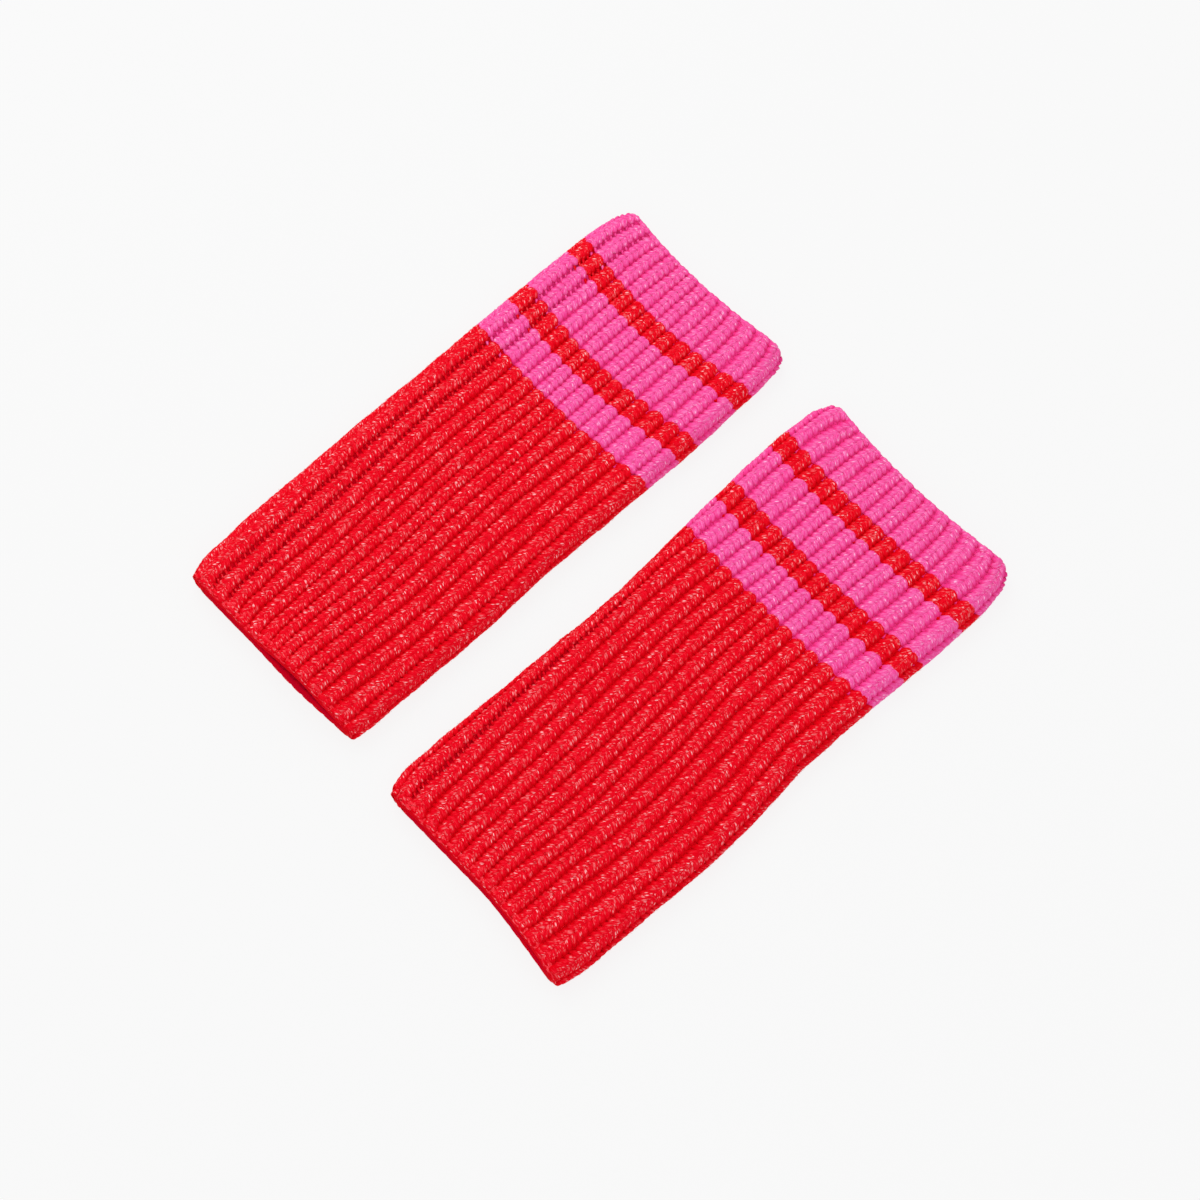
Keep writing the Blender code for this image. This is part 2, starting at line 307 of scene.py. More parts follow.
def row_bow(warmer, across, along):
    """How far a row's middle hangs towards the hem: it grows past the red body and fades at the cuff."""
    share = along / length_of(warmer)
    reach = smooth_step((share - BOW_START) / BOW_GROWTH) * smooth_step((1.0 - share) / BOW_FADE)
    return warmer.bow * reach * (1.0 - (2.0 * across - 1.0) ** 2) ** 2


def corner_cut(across, from_end):
    """How far a row falls short at the sides, near an end: 1 at the corner itself."""
    near = np.clip((np.abs(2.0 * across - 1.0) - CORNER_START) / (1.0 - CORNER_START), 0.0, 1.0)
    return near ** 2 * smooth_step(1.0 - from_end / CORNER_LENGTH)


def crest_section(warmer, along, rib):
    """Places and outward directions on the crest line at the rib numbers: rows x, z, out x, out z."""
    x, z = outer_curve(warmer, along)
    run = np.concatenate([[0.0], np.cumsum(np.hypot(np.diff(x), np.diff(z)))])
    place = rib_place(warmer, along, rib, run[-1])
    slope_x = np.interp(place, run, np.gradient(x, run))
    slope_z = np.interp(place, run, np.gradient(z, run))
    size = np.hypot(slope_x, slope_z)
    return np.stack([np.interp(place, run, x), np.interp(place, run, z), -slope_z / size, slope_x / size])


def waves(parts, rib, along):
    """A sum of soft sine waves along the ribs, each shifted in phase from rib to rib."""
    return sum(size * np.sin(2.0 * np.pi * along / span + phase * rib) for size, span, phase in parts)


class KnitSurface:
    """The outside of one warmer, read by rib number, place along and height over the rib crests."""

    def __init__(self, warmer):
        self.warmer = warmer
        self.length = length_of(warmer)
        self.along = places_along(self.length, READ_ALONG)
        self.rib = np.linspace(0.0, RIBS_ACROSS, RIBS_ACROSS * READ_PER_RIB + 1)
        self.table = np.stack([crest_section(warmer, place, self.rib) for place in self.along], axis=1)

    def row_y(self, x, z, along):
        """The rows bow from the hem's line to the other end's, and the upper hem is set back."""
        inside = np.clip(along, 0.0, self.length)
        left, right = edges_of(self.warmer, inside)
        across = np.clip((x - left) / (right - left), 0.0, 1.0)
        share = along / self.length
        y = end_line(self.warmer.hem, across, (1.0 - share) ** 2) * (1.0 - share)
        y = y + end_line(self.warmer.cuff, across) * share - row_bow(self.warmer, across, along)
        y = y + HEM_CORNER * corner_cut(across, inside)
        y = y - CUFF_CORNER * corner_cut(across, self.length - inside)
        low = np.clip(1.0 - z / LAYER, 0.0, 1.0)
        y = y - HEM_SAG * low * layer_lift(self.warmer, across, inside)
        return y + HEM_SETBACK * (z / HEIGHT) * smooth_step(1.0 - inside / SETBACK_LENGTH)

    def read(self, rib, along, out):
        """Points at a height over the crests: a straight blend between the four table places around."""
        rib = rib + waves(WANDER, rib, along) * smooth_step(rib) * smooth_step(RIBS_ACROSS - rib)
        out = out + waves(SWELL, rib, along)
        inside = np.clip(along, 0.0, self.length)
        row = np.clip(np.searchsorted(self.along, inside) - 1, 0, len(self.along) - 2)
        row_part = (inside - self.along[row]) / (self.along[row + 1] - self.along[row])
        column = np.clip(rib, 0.0, RIBS_ACROSS) * READ_PER_RIB
        start = np.minimum(column.astype(int), len(self.rib) - 2)
        part = column - start
        low = self.table[:, row, start] * (1.0 - part) + self.table[:, row, start + 1] * part
        high = self.table[:, row + 1, start] * (1.0 - part) + self.table[:, row + 1, start + 1] * part
        x, z, out_x, out_z = low * (1.0 - row_part) + high * row_part
        x = x + out * out_x
        z = z + out * out_z
        return np.stack([x, self.row_y(x, z, along), z], axis=-1)

    def rib_width(self, rib, along):
        """The distance over one rib, from valley to valley."""
        over = self.read(rib + 1.0, along, 0.0) - self.read(rib + 0.0, along, 0.0)
        return np.linalg.norm(over, axis=-1)

    def line(self, rib, along, out):
        """Points at a height over the crests, and the unit directions from each to 1 mm further out."""
        points = self.read(rib, along, out)
        return points, unit(self.read(rib, along, out + 1.0 * MM) - points)


def unit(vectors):
    return vectors / np.linalg.norm(vectors, axis=-1, keepdims=True)


def rows_of(warmer):
    """The rows from hem to cuff: the place of each one's highest points, its pitch and its yarn."""
    places, pitches, yarns = [], [], []
    start = 0.0
    for band in warmer.bands:
        pitch = (band.end - start) / band.rows
        places.append(start + pitch * (np.arange(band.rows) + 1.0))
        pitches.append(np.full(band.rows, pitch))
        yarns.append(np.full(band.rows, band.yarn))
        start = band.end
    return np.concatenate(places), np.concatenate(pitches), np.concatenate(yarns)


def yarn_at(warmer, along):
    """The yarn number at each distance from the hem."""
    ends = np.array([band.end for band in warmer.bands[:-1]])
    yarns = np.array([band.yarn for band in warmer.bands])
    return yarns[np.searchsorted(ends, along, side="right")]


# Mesh helpers


def new_object(name, data):
    """An object in the scene that holds a mesh, a light or a camera."""
    item = bpy.data.objects.new(name, data)
    bpy.context.scene.collection.objects.link(item)
    return item


def mesh_piece(name, points, quads, triangles, materials, yarn, uv, tone):
    """One object from whole arrays: faces, their yarn, and the UV and tone of each point."""
    mesh = bpy.data.meshes.new(name)
    corners = np.concatenate([quads.ravel(), triangles.ravel()])
    sizes = np.concatenate([np.full(len(quads), 4), np.full(len(triangles), 3)])
    starts = np.concatenate([[0], np.cumsum(sizes)[:-1]])
    mesh.vertices.add(len(points))
    mesh.vertices.foreach_set("co", points.astype(np.float32).ravel())
    mesh.loops.add(len(corners))
    mesh.loops.foreach_set("vertex_index", corners.astype(np.int32))
    mesh.polygons.add(len(sizes))
    mesh.polygons.foreach_set("loop_start", starts.astype(np.int32))
    mesh.polygons.foreach_set("material_index", yarn.astype(np.int32))
    mesh.polygons.foreach_set("use_smooth", np.ones(len(sizes), bool))
    layer = mesh.uv_layers.new(name="yarn")
    layer.data.foreach_set("uv", uv[corners].astype(np.float32).ravel())
    # The tone holds random unevenness of the yarn and the painted shade of valleys, flanks and edges
    shade = mesh.attributes.new(name="tone", type="FLOAT", domain="POINT")
    shade.data.foreach_set("value", tone.astype(np.float32))
    for material in materials:
        mesh.materials.append(material)
    mesh.update(calc_edges=True)
    mesh.validate()
    return new_object(name, mesh)


# How much the tone of a strand falls from its back to its flanks, which is shade painted on
# them, and the size of the pattern of its yarn, in millimetres, over which the strands are scattered
PAINTED_STRAND_SHADE = 0.85
PATTERN_SIZE = 400.0


def tapered_yarn(centres, outward, half_width, half_height, lean, turns):
    """Closed spindles of yarn along many centre lines at once.

    centres has a row of points for each spindle, its first and last being the tips. A ring at each
    point between is an ellipse across the line, with a point at each of the turns: half_width along
    the surface, half_height away from it, and tipped by lean on the side that faces the cuff.
    Nothing reaches below the table.
    """
    count, sections = centres.shape[:2]
    rings = sections - 2
    ring = len(turns)
    forward = unit(np.gradient(centres, axis=1))
    across = unit(np.cross(outward, forward))
    away = np.cross(forward, across)
    cuffward = np.sign(across[..., 1:2])
    turn = np.radians(turns)
    cosine = np.cos(turn)[None, None, :, None]
    sine = np.sin(turn)[None, None, :, None]
    wide = half_width[:, 1:-1, None, None]
    high = half_height[:, 1:-1, None, None]
    tipped = lean * (cuffward[:, 1:-1, None, :] * cosine)
    body = (centres[:, 1:-1, None] + wide * cosine * across[:, 1:-1, None]
            + (high * sine + tipped) * away[:, 1:-1, None])
    tips = centres[:, [0, -1]]
    points = np.concatenate([body.reshape(count, rings * ring, 3), tips], axis=1)
    points[..., 2] = np.maximum(points[..., 2], 0.0)

    here = np.arange(rings * ring).reshape(rings, ring)
    beside = np.roll(here, -1, axis=1)
    quads = np.stack([here[:-1], beside[:-1], beside[1:], here[1:]], axis=-1).reshape(-1, 4)
    first = np.full(ring, rings * ring)
    start = np.stack([first, beside[0], here[0]], axis=-1)
    end = np.stack([first + 1, here[-1], beside[-1]], axis=-1)
    triangles = np.concatenate([start, end])
    step = (np.arange(count) * points.shape[1])[:, None, None]

    run = np.linalg.norm(np.diff(centres, axis=1), axis=-1).cumsum(axis=1)
    run = np.concatenate([np.zeros((count, 1)), run], axis=1) / MM
    girth = (half_width[:, 1:-1, None] + half_height[:, 1:-1, None]) * turn / MM
    uv_body = np.stack([np.broadcast_to(run[:, 1:-1, None], girth.shape), girth], axis=-1)
    uv_tips = np.stack([run[:, [0, -1]], np.zeros((count, 2))], axis=-1)
    uv = np.concatenate([uv_body.reshape(count, rings * ring, 2), uv_tips], axis=1)
    return {
        "points": points.reshape(-1, 3),
        "quads": (quads[None] + step).reshape(-1, 4),
        "triangles": (triangles[None] + step).reshape(-1, 3),
        "uv": uv,
        "painted_flank_shade": PAINTED_STRAND_SHADE * (1.0 - np.sin(turn)),
        "quads_each": len(quads),
        "triangles_each": len(triangles),
    }


def keep_with_body(piece):
    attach(piece, BODY)
    return piece


def yarn_piece(name, tubes, yarn, tone, random, materials):
    """Makes spindles into one object: each has its yarn and place in the pattern, and a tone a ring.

    Shade is painted on a strand's flanks: the tone falls there to 0, unless it starts out lower.
    """
    shift = random.uniform(0.0, PATTERN_SIZE, (len(tone), 2))
    faces = np.concatenate([np.repeat(yarn, tubes["quads_each"]), np.repeat(yarn, tubes["triangles_each"])])
    uv = (tubes["uv"] + shift[:, None, :]).reshape(-1, 2)
    back = tone[:, 1:-1, None]
    body = np.maximum(back - tubes["painted_flank_shade"], np.minimum(back, 0.0)).reshape(len(tone), -1)
    tones = np.concatenate([body, tone[:, [0, -1]]], axis=1).ravel()
    points, quads, triangles = tubes["points"], tubes["quads"], tubes["triangles"]
    keep_with_body(mesh_piece(name, points, quads, triangles, materials, faces, uv, tones))


# Materials

# The colours of a yarn: edge is painted shade at the edge of an opening and in the hollow, deep is
# painted shade between the ribs and on the flanks of strands, then its own mottle from shade by base
# to light, and its flecks
Look = namedtuple("Look", "edge deep shade base light fleck")

# The angle of the yarn's twist to the stitch, and the millimetres of one rib and one row
TWIST = 0.35
GROUND_UNIT = (6.0, 2.2, 1.0)

# The length and width of the yarn's streaks and mottle, in millimetres, and how much each counts
STREAKS, STREAKS_SHARE = (2.2, 0.50), 0.6
MOTTLE, MOTTLE_SHARE = (1.2, 0.80), 0.4

# The flecks: their length and width in millimetres, the share of places that have one, and how soft
# their edges are, then how strong the faint ones are
SOFT_FLECKS, SOFT_STRENGTH = (2.4, 1.30, 0.24, 0.50), 0.27
SMALL_FLECKS, SMALL_STRENGTH = (0.95, 0.45, 0.15, 0.45), 0.50
LARGE_FLECKS = (1.5, 0.75, 0.10, 0.42)


def new_material(name):
    material = bpy.data.materials.new(name)
    material.use_nodes = True
    return material, material.node_tree


def set_inputs(tree, item, inputs):
    """Sets a node's inputs, by their names or numbers, to values or links them to sockets."""
    for key, value in inputs.items():
        if isinstance(value, bpy.types.NodeSocket):
            tree.links.new(value, item.inputs[key])
        else:
            item.inputs[key].default_value = value


def add_node(tree, kind, settings=None, **inputs):
    """A node with its settings and its inputs."""
    item = tree.nodes.new(kind)
    for name, value in (settings or {}).items():
        setattr(item, name, value)
    set_inputs(tree, item, inputs)
    return item


def blend_colour(tree, factor, first, second):
    """A colour between two, by a factor socket."""
    item = add_node(tree, "ShaderNodeMix", {"data_type": "RGBA"})
    set_inputs(tree, item, {0: factor, 6: first, 7: second})
    return item.outputs[2]


def math_node(tree, operation, first, second=0.0):
    item = add_node(tree, "ShaderNodeMath", {"operation": operation})
    set_inputs(tree, item, {0: first, 1: second})
    return item.outputs[0]


def times(tree, first, second):
    return math_node(tree, "MULTIPLY", first, second)


def remap(tree, value, low, high, to_low=0.0, to_high=1.0):
    item = add_node(tree, "ShaderNodeMapRange", {"interpolation_type": "SMOOTHSTEP"}, Value=value)
    set_inputs(tree, item, {"From Min": low, "From Max": high, "To Min": to_low, "To Max": to_high})
    return item.outputs[0]


def stretched(tree, place, length, width):
    """Pattern coordinates in which one unit is length by width, in millimetres of yarn."""
    scale = (1.0 / length, 1.0 / width, 1.0)
    return add_node(tree, "ShaderNodeMapping", Vector=place, Scale=scale).outputs[0]


def flecks(tree, place, length, width, share, softness):
    """Long soft spots of lighter fibre: cells of a stretched pattern, of which a share are lit."""
    cells = add_node(tree, "ShaderNodeTexVoronoi", {"voronoi_dimensions": "2D"},
                     Vector=stretched(tree, place, length, width), Scale=1.0)
    split = add_node(tree, "ShaderNodeSeparateColor", Color=cells.outputs["Color"])
    chosen = math_node(tree, "GREATER_THAN", split.outputs[0], 1.0 - share)
    spot = remap(tree, cells.outputs["Distance"], 0.52, 0.52 - softness)
    strength = remap(tree, split.outputs[1], 0.0, 1.0, 0.40, 1.0)
    return times(tree, times(tree, chosen, spot), strength)


def fibre_grain(tree, place, length, width):
    """Streaks along the yarn, from stretched noise."""
    grain = add_node(tree, "ShaderNodeTexNoise", {"noise_dimensions": "2D"}, Scale=1.0, Detail=3.0,
                     Roughness=0.6, Vector=stretched(tree, place, length, width))
    return grain.outputs[0]


def melange(tree, place, look, tone):
    """The colour of melange yarn: mottled and streaked between shade and base, with light flecks.

    Where the tone is low, deep between the ribs and on the flanks, shade is painted: the yarn is
    darker and its flecks are fainter. Below 0 it nears the painted shade of an edge in shadow, and
    above 1 the colour of loose pale fleece.
    """
    streaks = fibre_grain(tree, place, *STREAKS)
    mottle = fibre_grain(tree, place, *MOTTLE)
    parts = times(tree, streaks, STREAKS_SHARE), times(tree, mottle, MOTTLE_SHARE)
    mixed = math_node(tree, "ADD", *parts)
    colour = blend_colour(tree, remap(tree, mixed, 0.38, 0.52), look.shade, look.base)
    colour = blend_colour(tree, remap(tree, mixed, 0.53, 0.67, 0.0, 0.85), colour, look.light)
    soft = times(tree, flecks(tree, place, *SOFT_FLECKS), SOFT_STRENGTH)
    small = times(tree, flecks(tree, place, *SMALL_FLECKS), SMALL_STRENGTH)
    large = flecks(tree, place, *LARGE_FLECKS)
    small = math_node(tree, "MAXIMUM", small, soft)
    spots = math_node(tree, "MAXIMUM", small, large)
    # Shade is painted where the tone is low: flecks fade, the yarn darkens to deep and, below 0, to edge
    spots = times(tree, spots, remap(tree, tone, 0.15, 0.80))
    colour = blend_colour(tree, spots, colour, look.fleck)
    colour = blend_colour(tree, remap(tree, tone, 1.0, 1.6, 0.0, 0.6), colour, look.light)
    colour = blend_colour(tree, remap(tree, tone, 0.0, 0.75, 0.90, 0.0), colour, look.deep)
    return blend_colour(tree, remap(tree, tone, -1.0, 0.0, 1.0, 0.0), colour, look.edge), streaks


def wool_shader(tree, colour, height, strength, tint):
    """A matt fibre surface with a bump and a faint nap."""
    bump = add_node(tree, "ShaderNodeBump", Height=height, Strength=strength, Distance=0.20 * MM)
    set_inputs(tree, tree.nodes["Principled BSDF"], {
        "Base Color": colour, "Roughness": 0.92, "Specular IOR Level": 0.01, "Sheen Weight": 0.01,
        "Sheen Roughness": 0.5, "Sheen Tint": tint, "Normal": bump.outputs[0]})


def yarn_material(name, look):
    """The yarn of the stitches, bars, chains and fibres, laid at the twist's angle."""
    material, tree = new_material(name)
    uv = add_node(tree, "ShaderNodeUVMap", {"uv_map": "yarn"})
    turned = add_node(tree, "ShaderNodeMapping", Vector=uv.outputs[0], Rotation=(0.0, 0.0, TWIST))
    tone = add_node(tree, "ShaderNodeAttribute", {"attribute_name": "tone"})
    colour, streaks = melange(tree, turned.outputs[0], look, tone.outputs["Fac"])
    wool_shader(tree, colour, streaks, 0.5, look.light)
    return material


def ground_material(name, look):
    """The wall behind the stitches: chevrons by bump on rib and row numbers, painted shade in valleys."""
    material, tree = new_material(name)
    uv = add_node(tree, "ShaderNodeUVMap", {"uv_map": "yarn"})
    axes = add_node(tree, "ShaderNodeSeparateXYZ", Vector=uv.outputs[0])
    part = math_node(tree, "FRACT", axes.outputs[0])
    side = math_node(tree, "ABSOLUTE", math_node(tree, "SUBTRACT", times(tree, part, 2.0), 1.0))
    row = math_node(tree, "ADD", axes.outputs[1], side)
    ridge = math_node(tree, "SINE", times(tree, math_node(tree, "FRACT", row), math.pi))
    millimetres = add_node(tree, "ShaderNodeMapping", Vector=uv.outputs[0], Scale=GROUND_UNIT)
    inward = add_node(tree, "ShaderNodeAttribute", {"attribute_name": "tone"})
    # Shade is painted down the valleys: the tone falls from a rib's middle to its sides
    tone = math_node(tree, "ADD", remap(tree, side, 0.35, 0.85, 0.75, 0.05), inward.outputs["Fac"])
    colour, streaks = melange(tree, millimetres.outputs[0], look, tone)
    height = math_node(tree, "ADD", times(tree, ridge, 2.0), streaks)
    wool_shader(tree, colour, height, 0.6, look.light)
    return material


def floor_material(name, colour, glow):
    """A pale matt backdrop that glows like a light table, so that shadows on it stay faint."""
    material, tree = new_material(name)
    coordinates = add_node(tree, "ShaderNodeTexCoord")
    mottle = add_node(tree, "ShaderNodeTexNoise", Vector=coordinates.outputs["Object"], Scale=3.0)
    paler = tuple(min(1.0, channel * 1.01) for channel in colour[:3]) + (1.0,)
    set_inputs(tree, tree.nodes["Principled BSDF"], {
        "Base Color": blend_colour(tree, mottle.outputs[0], colour, paler), "Roughness": 0.9,
        "Specular IOR Level": 0.0, "Emission Color": (1.0, 1.0, 1.0, 1.0), "Emission Strength": glow})
    return material


# Settings


def colour_setting(name, description, default):
    return FloatVectorProperty(name=name, description=description, default=default, size=3,
                               subtype="COLOR", min=0.0, max=1.0)


def length_setting(name, description, default):
    return FloatProperty(name=name, description=description, default=default, min=0.0,
                         subtype="DISTANCE", unit="LENGTH", precision=5)


class KnitSizes(bpy.types.PropertyGroup):
    """Sizes of the stitches, bars, chains and fibres."""

    leg_fall: FloatProperty(name="Leg fall", description="Fall of a stitch leg over its reach across",
                            default=0.88, min=0.0)
    leg_width: length_setting("Leg width", "Width of a stitch leg", 2.85 * MM)
    leg_height: length_setting("Leg height", "Thickness of a stitch leg", 1.5 * MM)
    valley: length_setting("Valley", "How far the legs sink from crest to valley", 1.7 * MM)
    bar_width: length_setting("Bar width", "Width of a purl bar in a valley", 2.0 * MM)
    chain_width: length_setting("Chain width", "Width of one strand of the chains at the ends", 1.5 * MM)
    fibre: length_setting("Fibre", "Mean length of a loose fibre", 0.9 * MM)
    fibres: IntProperty(name="Fibres", description="Loose fibres on each warmer", default=12000, min=0)


class YarnColours(bpy.types.PropertyGroup):
    """Colours of the two yarns and of the stage."""

    # The edge colours, red and pink, are painted shade for the edges of the openings and the hollow
    red_painted_edge_shade: colour_setting("Red edge", "Red yarn at the shaded hem", (0.56, 0.0004, 0.020))
    # The deep colours, red and pink, are painted shade for the valleys and the flanks of strands
    red_painted_deep_shade: colour_setting("Red deep", "Red yarn down between the ribs", (0.72, 0.0006, 0.006))
    red_shade: colour_setting("Red shade", "Deep tone of the red yarn", (0.75, 0.0008, 0.008))
    red: colour_setting("Red", "Main colour of the body", (0.80, 0.0035, 0.016))
    red_light: colour_setting("Red light", "Pale tone of the red yarn", (0.98, 0.046, 0.072))
    red_fleck: colour_setting("Red fleck", "Light fibres in the red yarn", (1.0, 0.60, 0.62))
    pink_painted_edge_shade: colour_setting("Pink edge", "Pink yarn at the shaded cuff", (0.72, 0.014, 0.14))
    pink_painted_deep_shade: colour_setting("Pink deep", "Pink yarn down between the ribs", (0.86, 0.036, 0.250))
    pink_shade: colour_setting("Pink shade", "Deep tone of the pink yarn", (0.86, 0.045, 0.27))
    pink: colour_setting("Pink", "Main colour of the hand end", (0.89, 0.108, 0.37))
    pink_light: colour_setting("Pink light", "Pale tone of the pink yarn", (0.98, 0.24, 0.56))
    pink_fleck: colour_setting("Pink fleck", "Light fibres in the pink yarn", (1.0, 0.56, 0.80))
    floor: colour_setting("Floor", "Pale surface under the pair", (0.08, 0.08, 0.08))
    floor_glow: FloatProperty(name="Floor glow", description="Light that the surface gives off",
                              default=0.858, min=0.0)


def four(colour):
    return (colour[0], colour[1], colour[2], 1.0)


def yarn_looks(context):
    """The colours of the red and of the pink yarn."""
    colours = context.scene.yarn_colours
    return [Look(*(four(getattr(colours, name)) for name in names)) for names in (
        ("red_painted_edge_shade", "red_painted_deep_shade", "red_shade", "red", "red_light", "red_fleck"),
        ("pink_painted_edge_shade", "pink_painted_deep_shade", "pink_shade", "pink", "pink_light", "pink_fleck"))]


def yarn_materials(context):
    """The red and the pink yarn, made once and shared by the stitches, bars, chains and fibres."""
    names = ("red_yarn", "pink_yarn")
    found = [bpy.data.materials.get(name) for name in names]
    if None in found:
        found = [yarn_material(name, look) for name, look in zip(names, yarn_looks(context))]
    return found


def for_each_warmer(context, make):
    """Makes the pieces of one kind on both warmers, in shared materials."""
    materials = yarn_materials(context)
    for warmer in WARMERS:
        make(KnitSurface(warmer), context.scene.knit_sizes, materials)
    return {"FINISHED"}


# What is left of the relief in shallow valleys, and how much of it is lost at the fleecy hem and at the
# rolled cuff, and over what length
SHALLOW_RELIEF = 0.35
HEM_LOSS, HEM_LOSS_LENGTH = 0.55, 4.5 * MM
CUFF_LOSS, CUFF_LOSS_LENGTH = 0.85, 4.0 * MM

# The length over which a seam fades out, and how round the ribs are
SEAM_FADE = 25.0 * MM
RIB_ROUNDNESS = 2.3


def stretch(warmer, ribs):
    """1 at most rib numbers, and less around the valleys that are stretched over a fold."""
    return np.where(np.isin(np.round(ribs), warmer.shallow), SHALLOW_RELIEF, 1.0)


def seam_at(warmer, ribs, along):
    """1 in the valleys of the seam, fading out where it sinks out of sight."""
    return np.isin(np.round(ribs), warmer.seams) * smooth_step((warmer.seam_end - along) / SEAM_FADE)


def rib_relief(warmer, ribs, along):
    """How far the ribs stand up: less at the hem's fleecy edge, the cuff's rolled one and on folds."""
    hem = HEM_LOSS * smooth_step(1.0 - along / HEM_LOSS_LENGTH)
    cuff = CUFF_LOSS * smooth_step(1.0 - (length_of(warmer) - along) / CUFF_LOSS_LENGTH)
    return (1.0 - np.maximum(hem, cuff)) * stretch(warmer, ribs)


def legs_bed(sizes, warmer, ribs, along):
    """How deep the middle of a leg lies under the crest line, by its distance from the rib's middle."""
    side = 2.0 * (ribs % 1.0) - 1.0
    sunk = sizes.valley * np.abs(side) ** RIB_ROUNDNESS * rib_relief(warmer, ribs, along)
    return -0.5 * sizes.leg_height - sunk


# Operators


class WARMERS_OT_ground(bpy.types.Operator):
    """Knit the ground wall: a flattened tube with ribs outside and a plain hollow inside"""

    bl_idname = "warmers.ground"
    bl_label = "Ground wall"

    # How deep the wall lies under the crest line, how much deeper in the valleys and in a seam's
    # valleys, and how far it is raised in the shallow ones, where it shows between the legs
    DEPTH = 0.9 * MM
    VALLEY = 0.82 * MM
    SEAM_DEPTH = 0.35 * MM
    RAISED = 0.62 * MM

    # The part of a rib over which the wall comes up to the feet, and the depth and roundness of the
    # valleys underneath
    FOOT_FADE = 0.6
    UNDER_VALLEY = 0.7 * MM
    UNDER_ROUNDNESS = 4

    # How far apart the points at a side of the hollow are drawn
    SQUEEZE = 1.5 * MM

    # The tones added in shallow valleys, where less shade is painted, and in the seam, where more
    # is, and the tone of the painted shade inside the hollow
    SHALLOW_TONE = 0.75
    SEAM_TONE = -0.45
    HOLLOW_PAINTED_SHADE = -1.3

    def execute(self, context):
        looks = yarn_looks(context)
        materials = [ground_material(name, look) for name, look in zip(("red_ground", "pink_ground"), looks)]
        for warmer in WARMERS:
            self.knit(warmer, materials)
        return {"FINISHED"}

    def knit(self, warmer, materials):
        surface = KnitSurface(warmer)
        along = places_along(surface.length, WALL_ALONG)
        over = np.linspace(0.0, RIBS_ACROSS, RIBS_ACROSS * WALL_PER_RIB + 1)
        under = np.linspace(RIBS_ACROSS, RIBS_ACROSS + RIBS_UNDER, RIBS_UNDER * WALL_PER_RIB + 1)[1:-1]
        top = self.top(surface, over, along)
        outer = np.concatenate([top, self.base(surface, under, along)], axis=1)
        hollow = self.hollow(surface, over, under, along)
        points = np.concatenate([outer.reshape(-1, 3), hollow.reshape(-1, 3)])
        points[:, 2] = np.maximum(points[:, 2], 0.0)
        rows, ring = outer.shape[:2]
        quads = self.faces(rows, ring)
        row_yarn = yarn_at(warmer, 0.5 * (along[1:] + along[:-1]))
        yarn = np.concatenate([np.tile(np.repeat(row_yarn, ring), 2), np.repeat([RED, PINK], ring)])
        ribs, places = np.meshgrid(np.concatenate([over, under]), along / (GROUND_UNIT[1] * MM))
        uv = np.tile(np.stack([ribs, places], axis=-1).reshape(-1, 2), (2, 1))
        level = self.SHALLOW_TONE * np.isin(np.round(ribs), warmer.shallow)
        level = level + self.SEAM_TONE * seam_at(warmer, ribs, along[:, None])
        tone = np.concatenate([level.ravel(), np.full(rows * ring, self.HOLLOW_PAINTED_SHADE)])
        no_triangles = np.zeros((0, 3), int)
        wall = mesh_piece(f"{warmer.side}_ground", points, quads, no_triangles, materials, yarn, uv, tone)
        keep_with_body(wall)
        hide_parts(f"{warmer.side}_warmer")

    def faces(self, rows, ring):
        """The faces of the outside, of the hollow, and of the rims that join them at hem and cuff."""
        number = np.arange(2 * rows * ring).reshape(2, rows, ring)
        beside = np.roll(number, -1, axis=2)
        outside = np.stack([number[0, :-1], beside[0, :-1], beside[0, 1:], number[0, 1:]], axis=-1)
        inside = np.stack([number[1, 1:], beside[1, 1:], beside[1, :-1], number[1, :-1]], axis=-1)
        hem = np.stack([number[1, 0], beside[1, 0], beside[0, 0], number[0, 0]], axis=-1)
        cuff = np.stack([number[0, -1], beside[0, -1], beside[1, -1], number[1, -1]], axis=-1)
        return np.concatenate([outside.reshape(-1, 4), inside.reshape(-1, 4), hem, cuff])

    def top(self, surface, over, along):
        """The ribbed outside: a rounded rib under the stitches that falls steeply into each valley."""
        ribs, places = np.meshgrid(over, along)
        side = np.abs(2.0 * (ribs % 1.0) - 1.0)
        seam = self.SEAM_DEPTH * seam_at(surface.warmer, ribs, places)
        relief = rib_relief(surface.warmer, ribs, places)
        depth = self.DEPTH + (self.VALLEY + seam) * side ** 3 * relief
        depth = depth - self.RAISED * np.isin(np.round(ribs), surface.warmer.shallow) * side ** 2
        fade = smooth_step(ribs / self.FOOT_FADE) * smooth_step((RIBS_ACROSS - ribs) / self.FOOT_FADE)
        return surface.read(ribs, places, -depth * fade)

    def base(self, surface, under, along):
        """The underside, pressed flat: its ribs touch the table and only their valleys are hollow."""
        foot = surface.read(np.full(len(along), float(RIBS_ACROSS)), along, 0.0)
        start = surface.read(np.zeros(len(along)), along, 0.0)
        share = (under - RIBS_ACROSS) / RIBS_UNDER
        x = foot[:, :1] + (start[:, :1] - foot[:, :1]) * share
        side = 2.0 * (under % 1.0) - 1.0
        z = np.broadcast_to(self.UNDER_VALLEY * np.abs(side) ** self.UNDER_ROUNDNESS, x.shape)
        return np.stack([x, surface.row_y(x, z, along[:, None]), z], axis=-1)

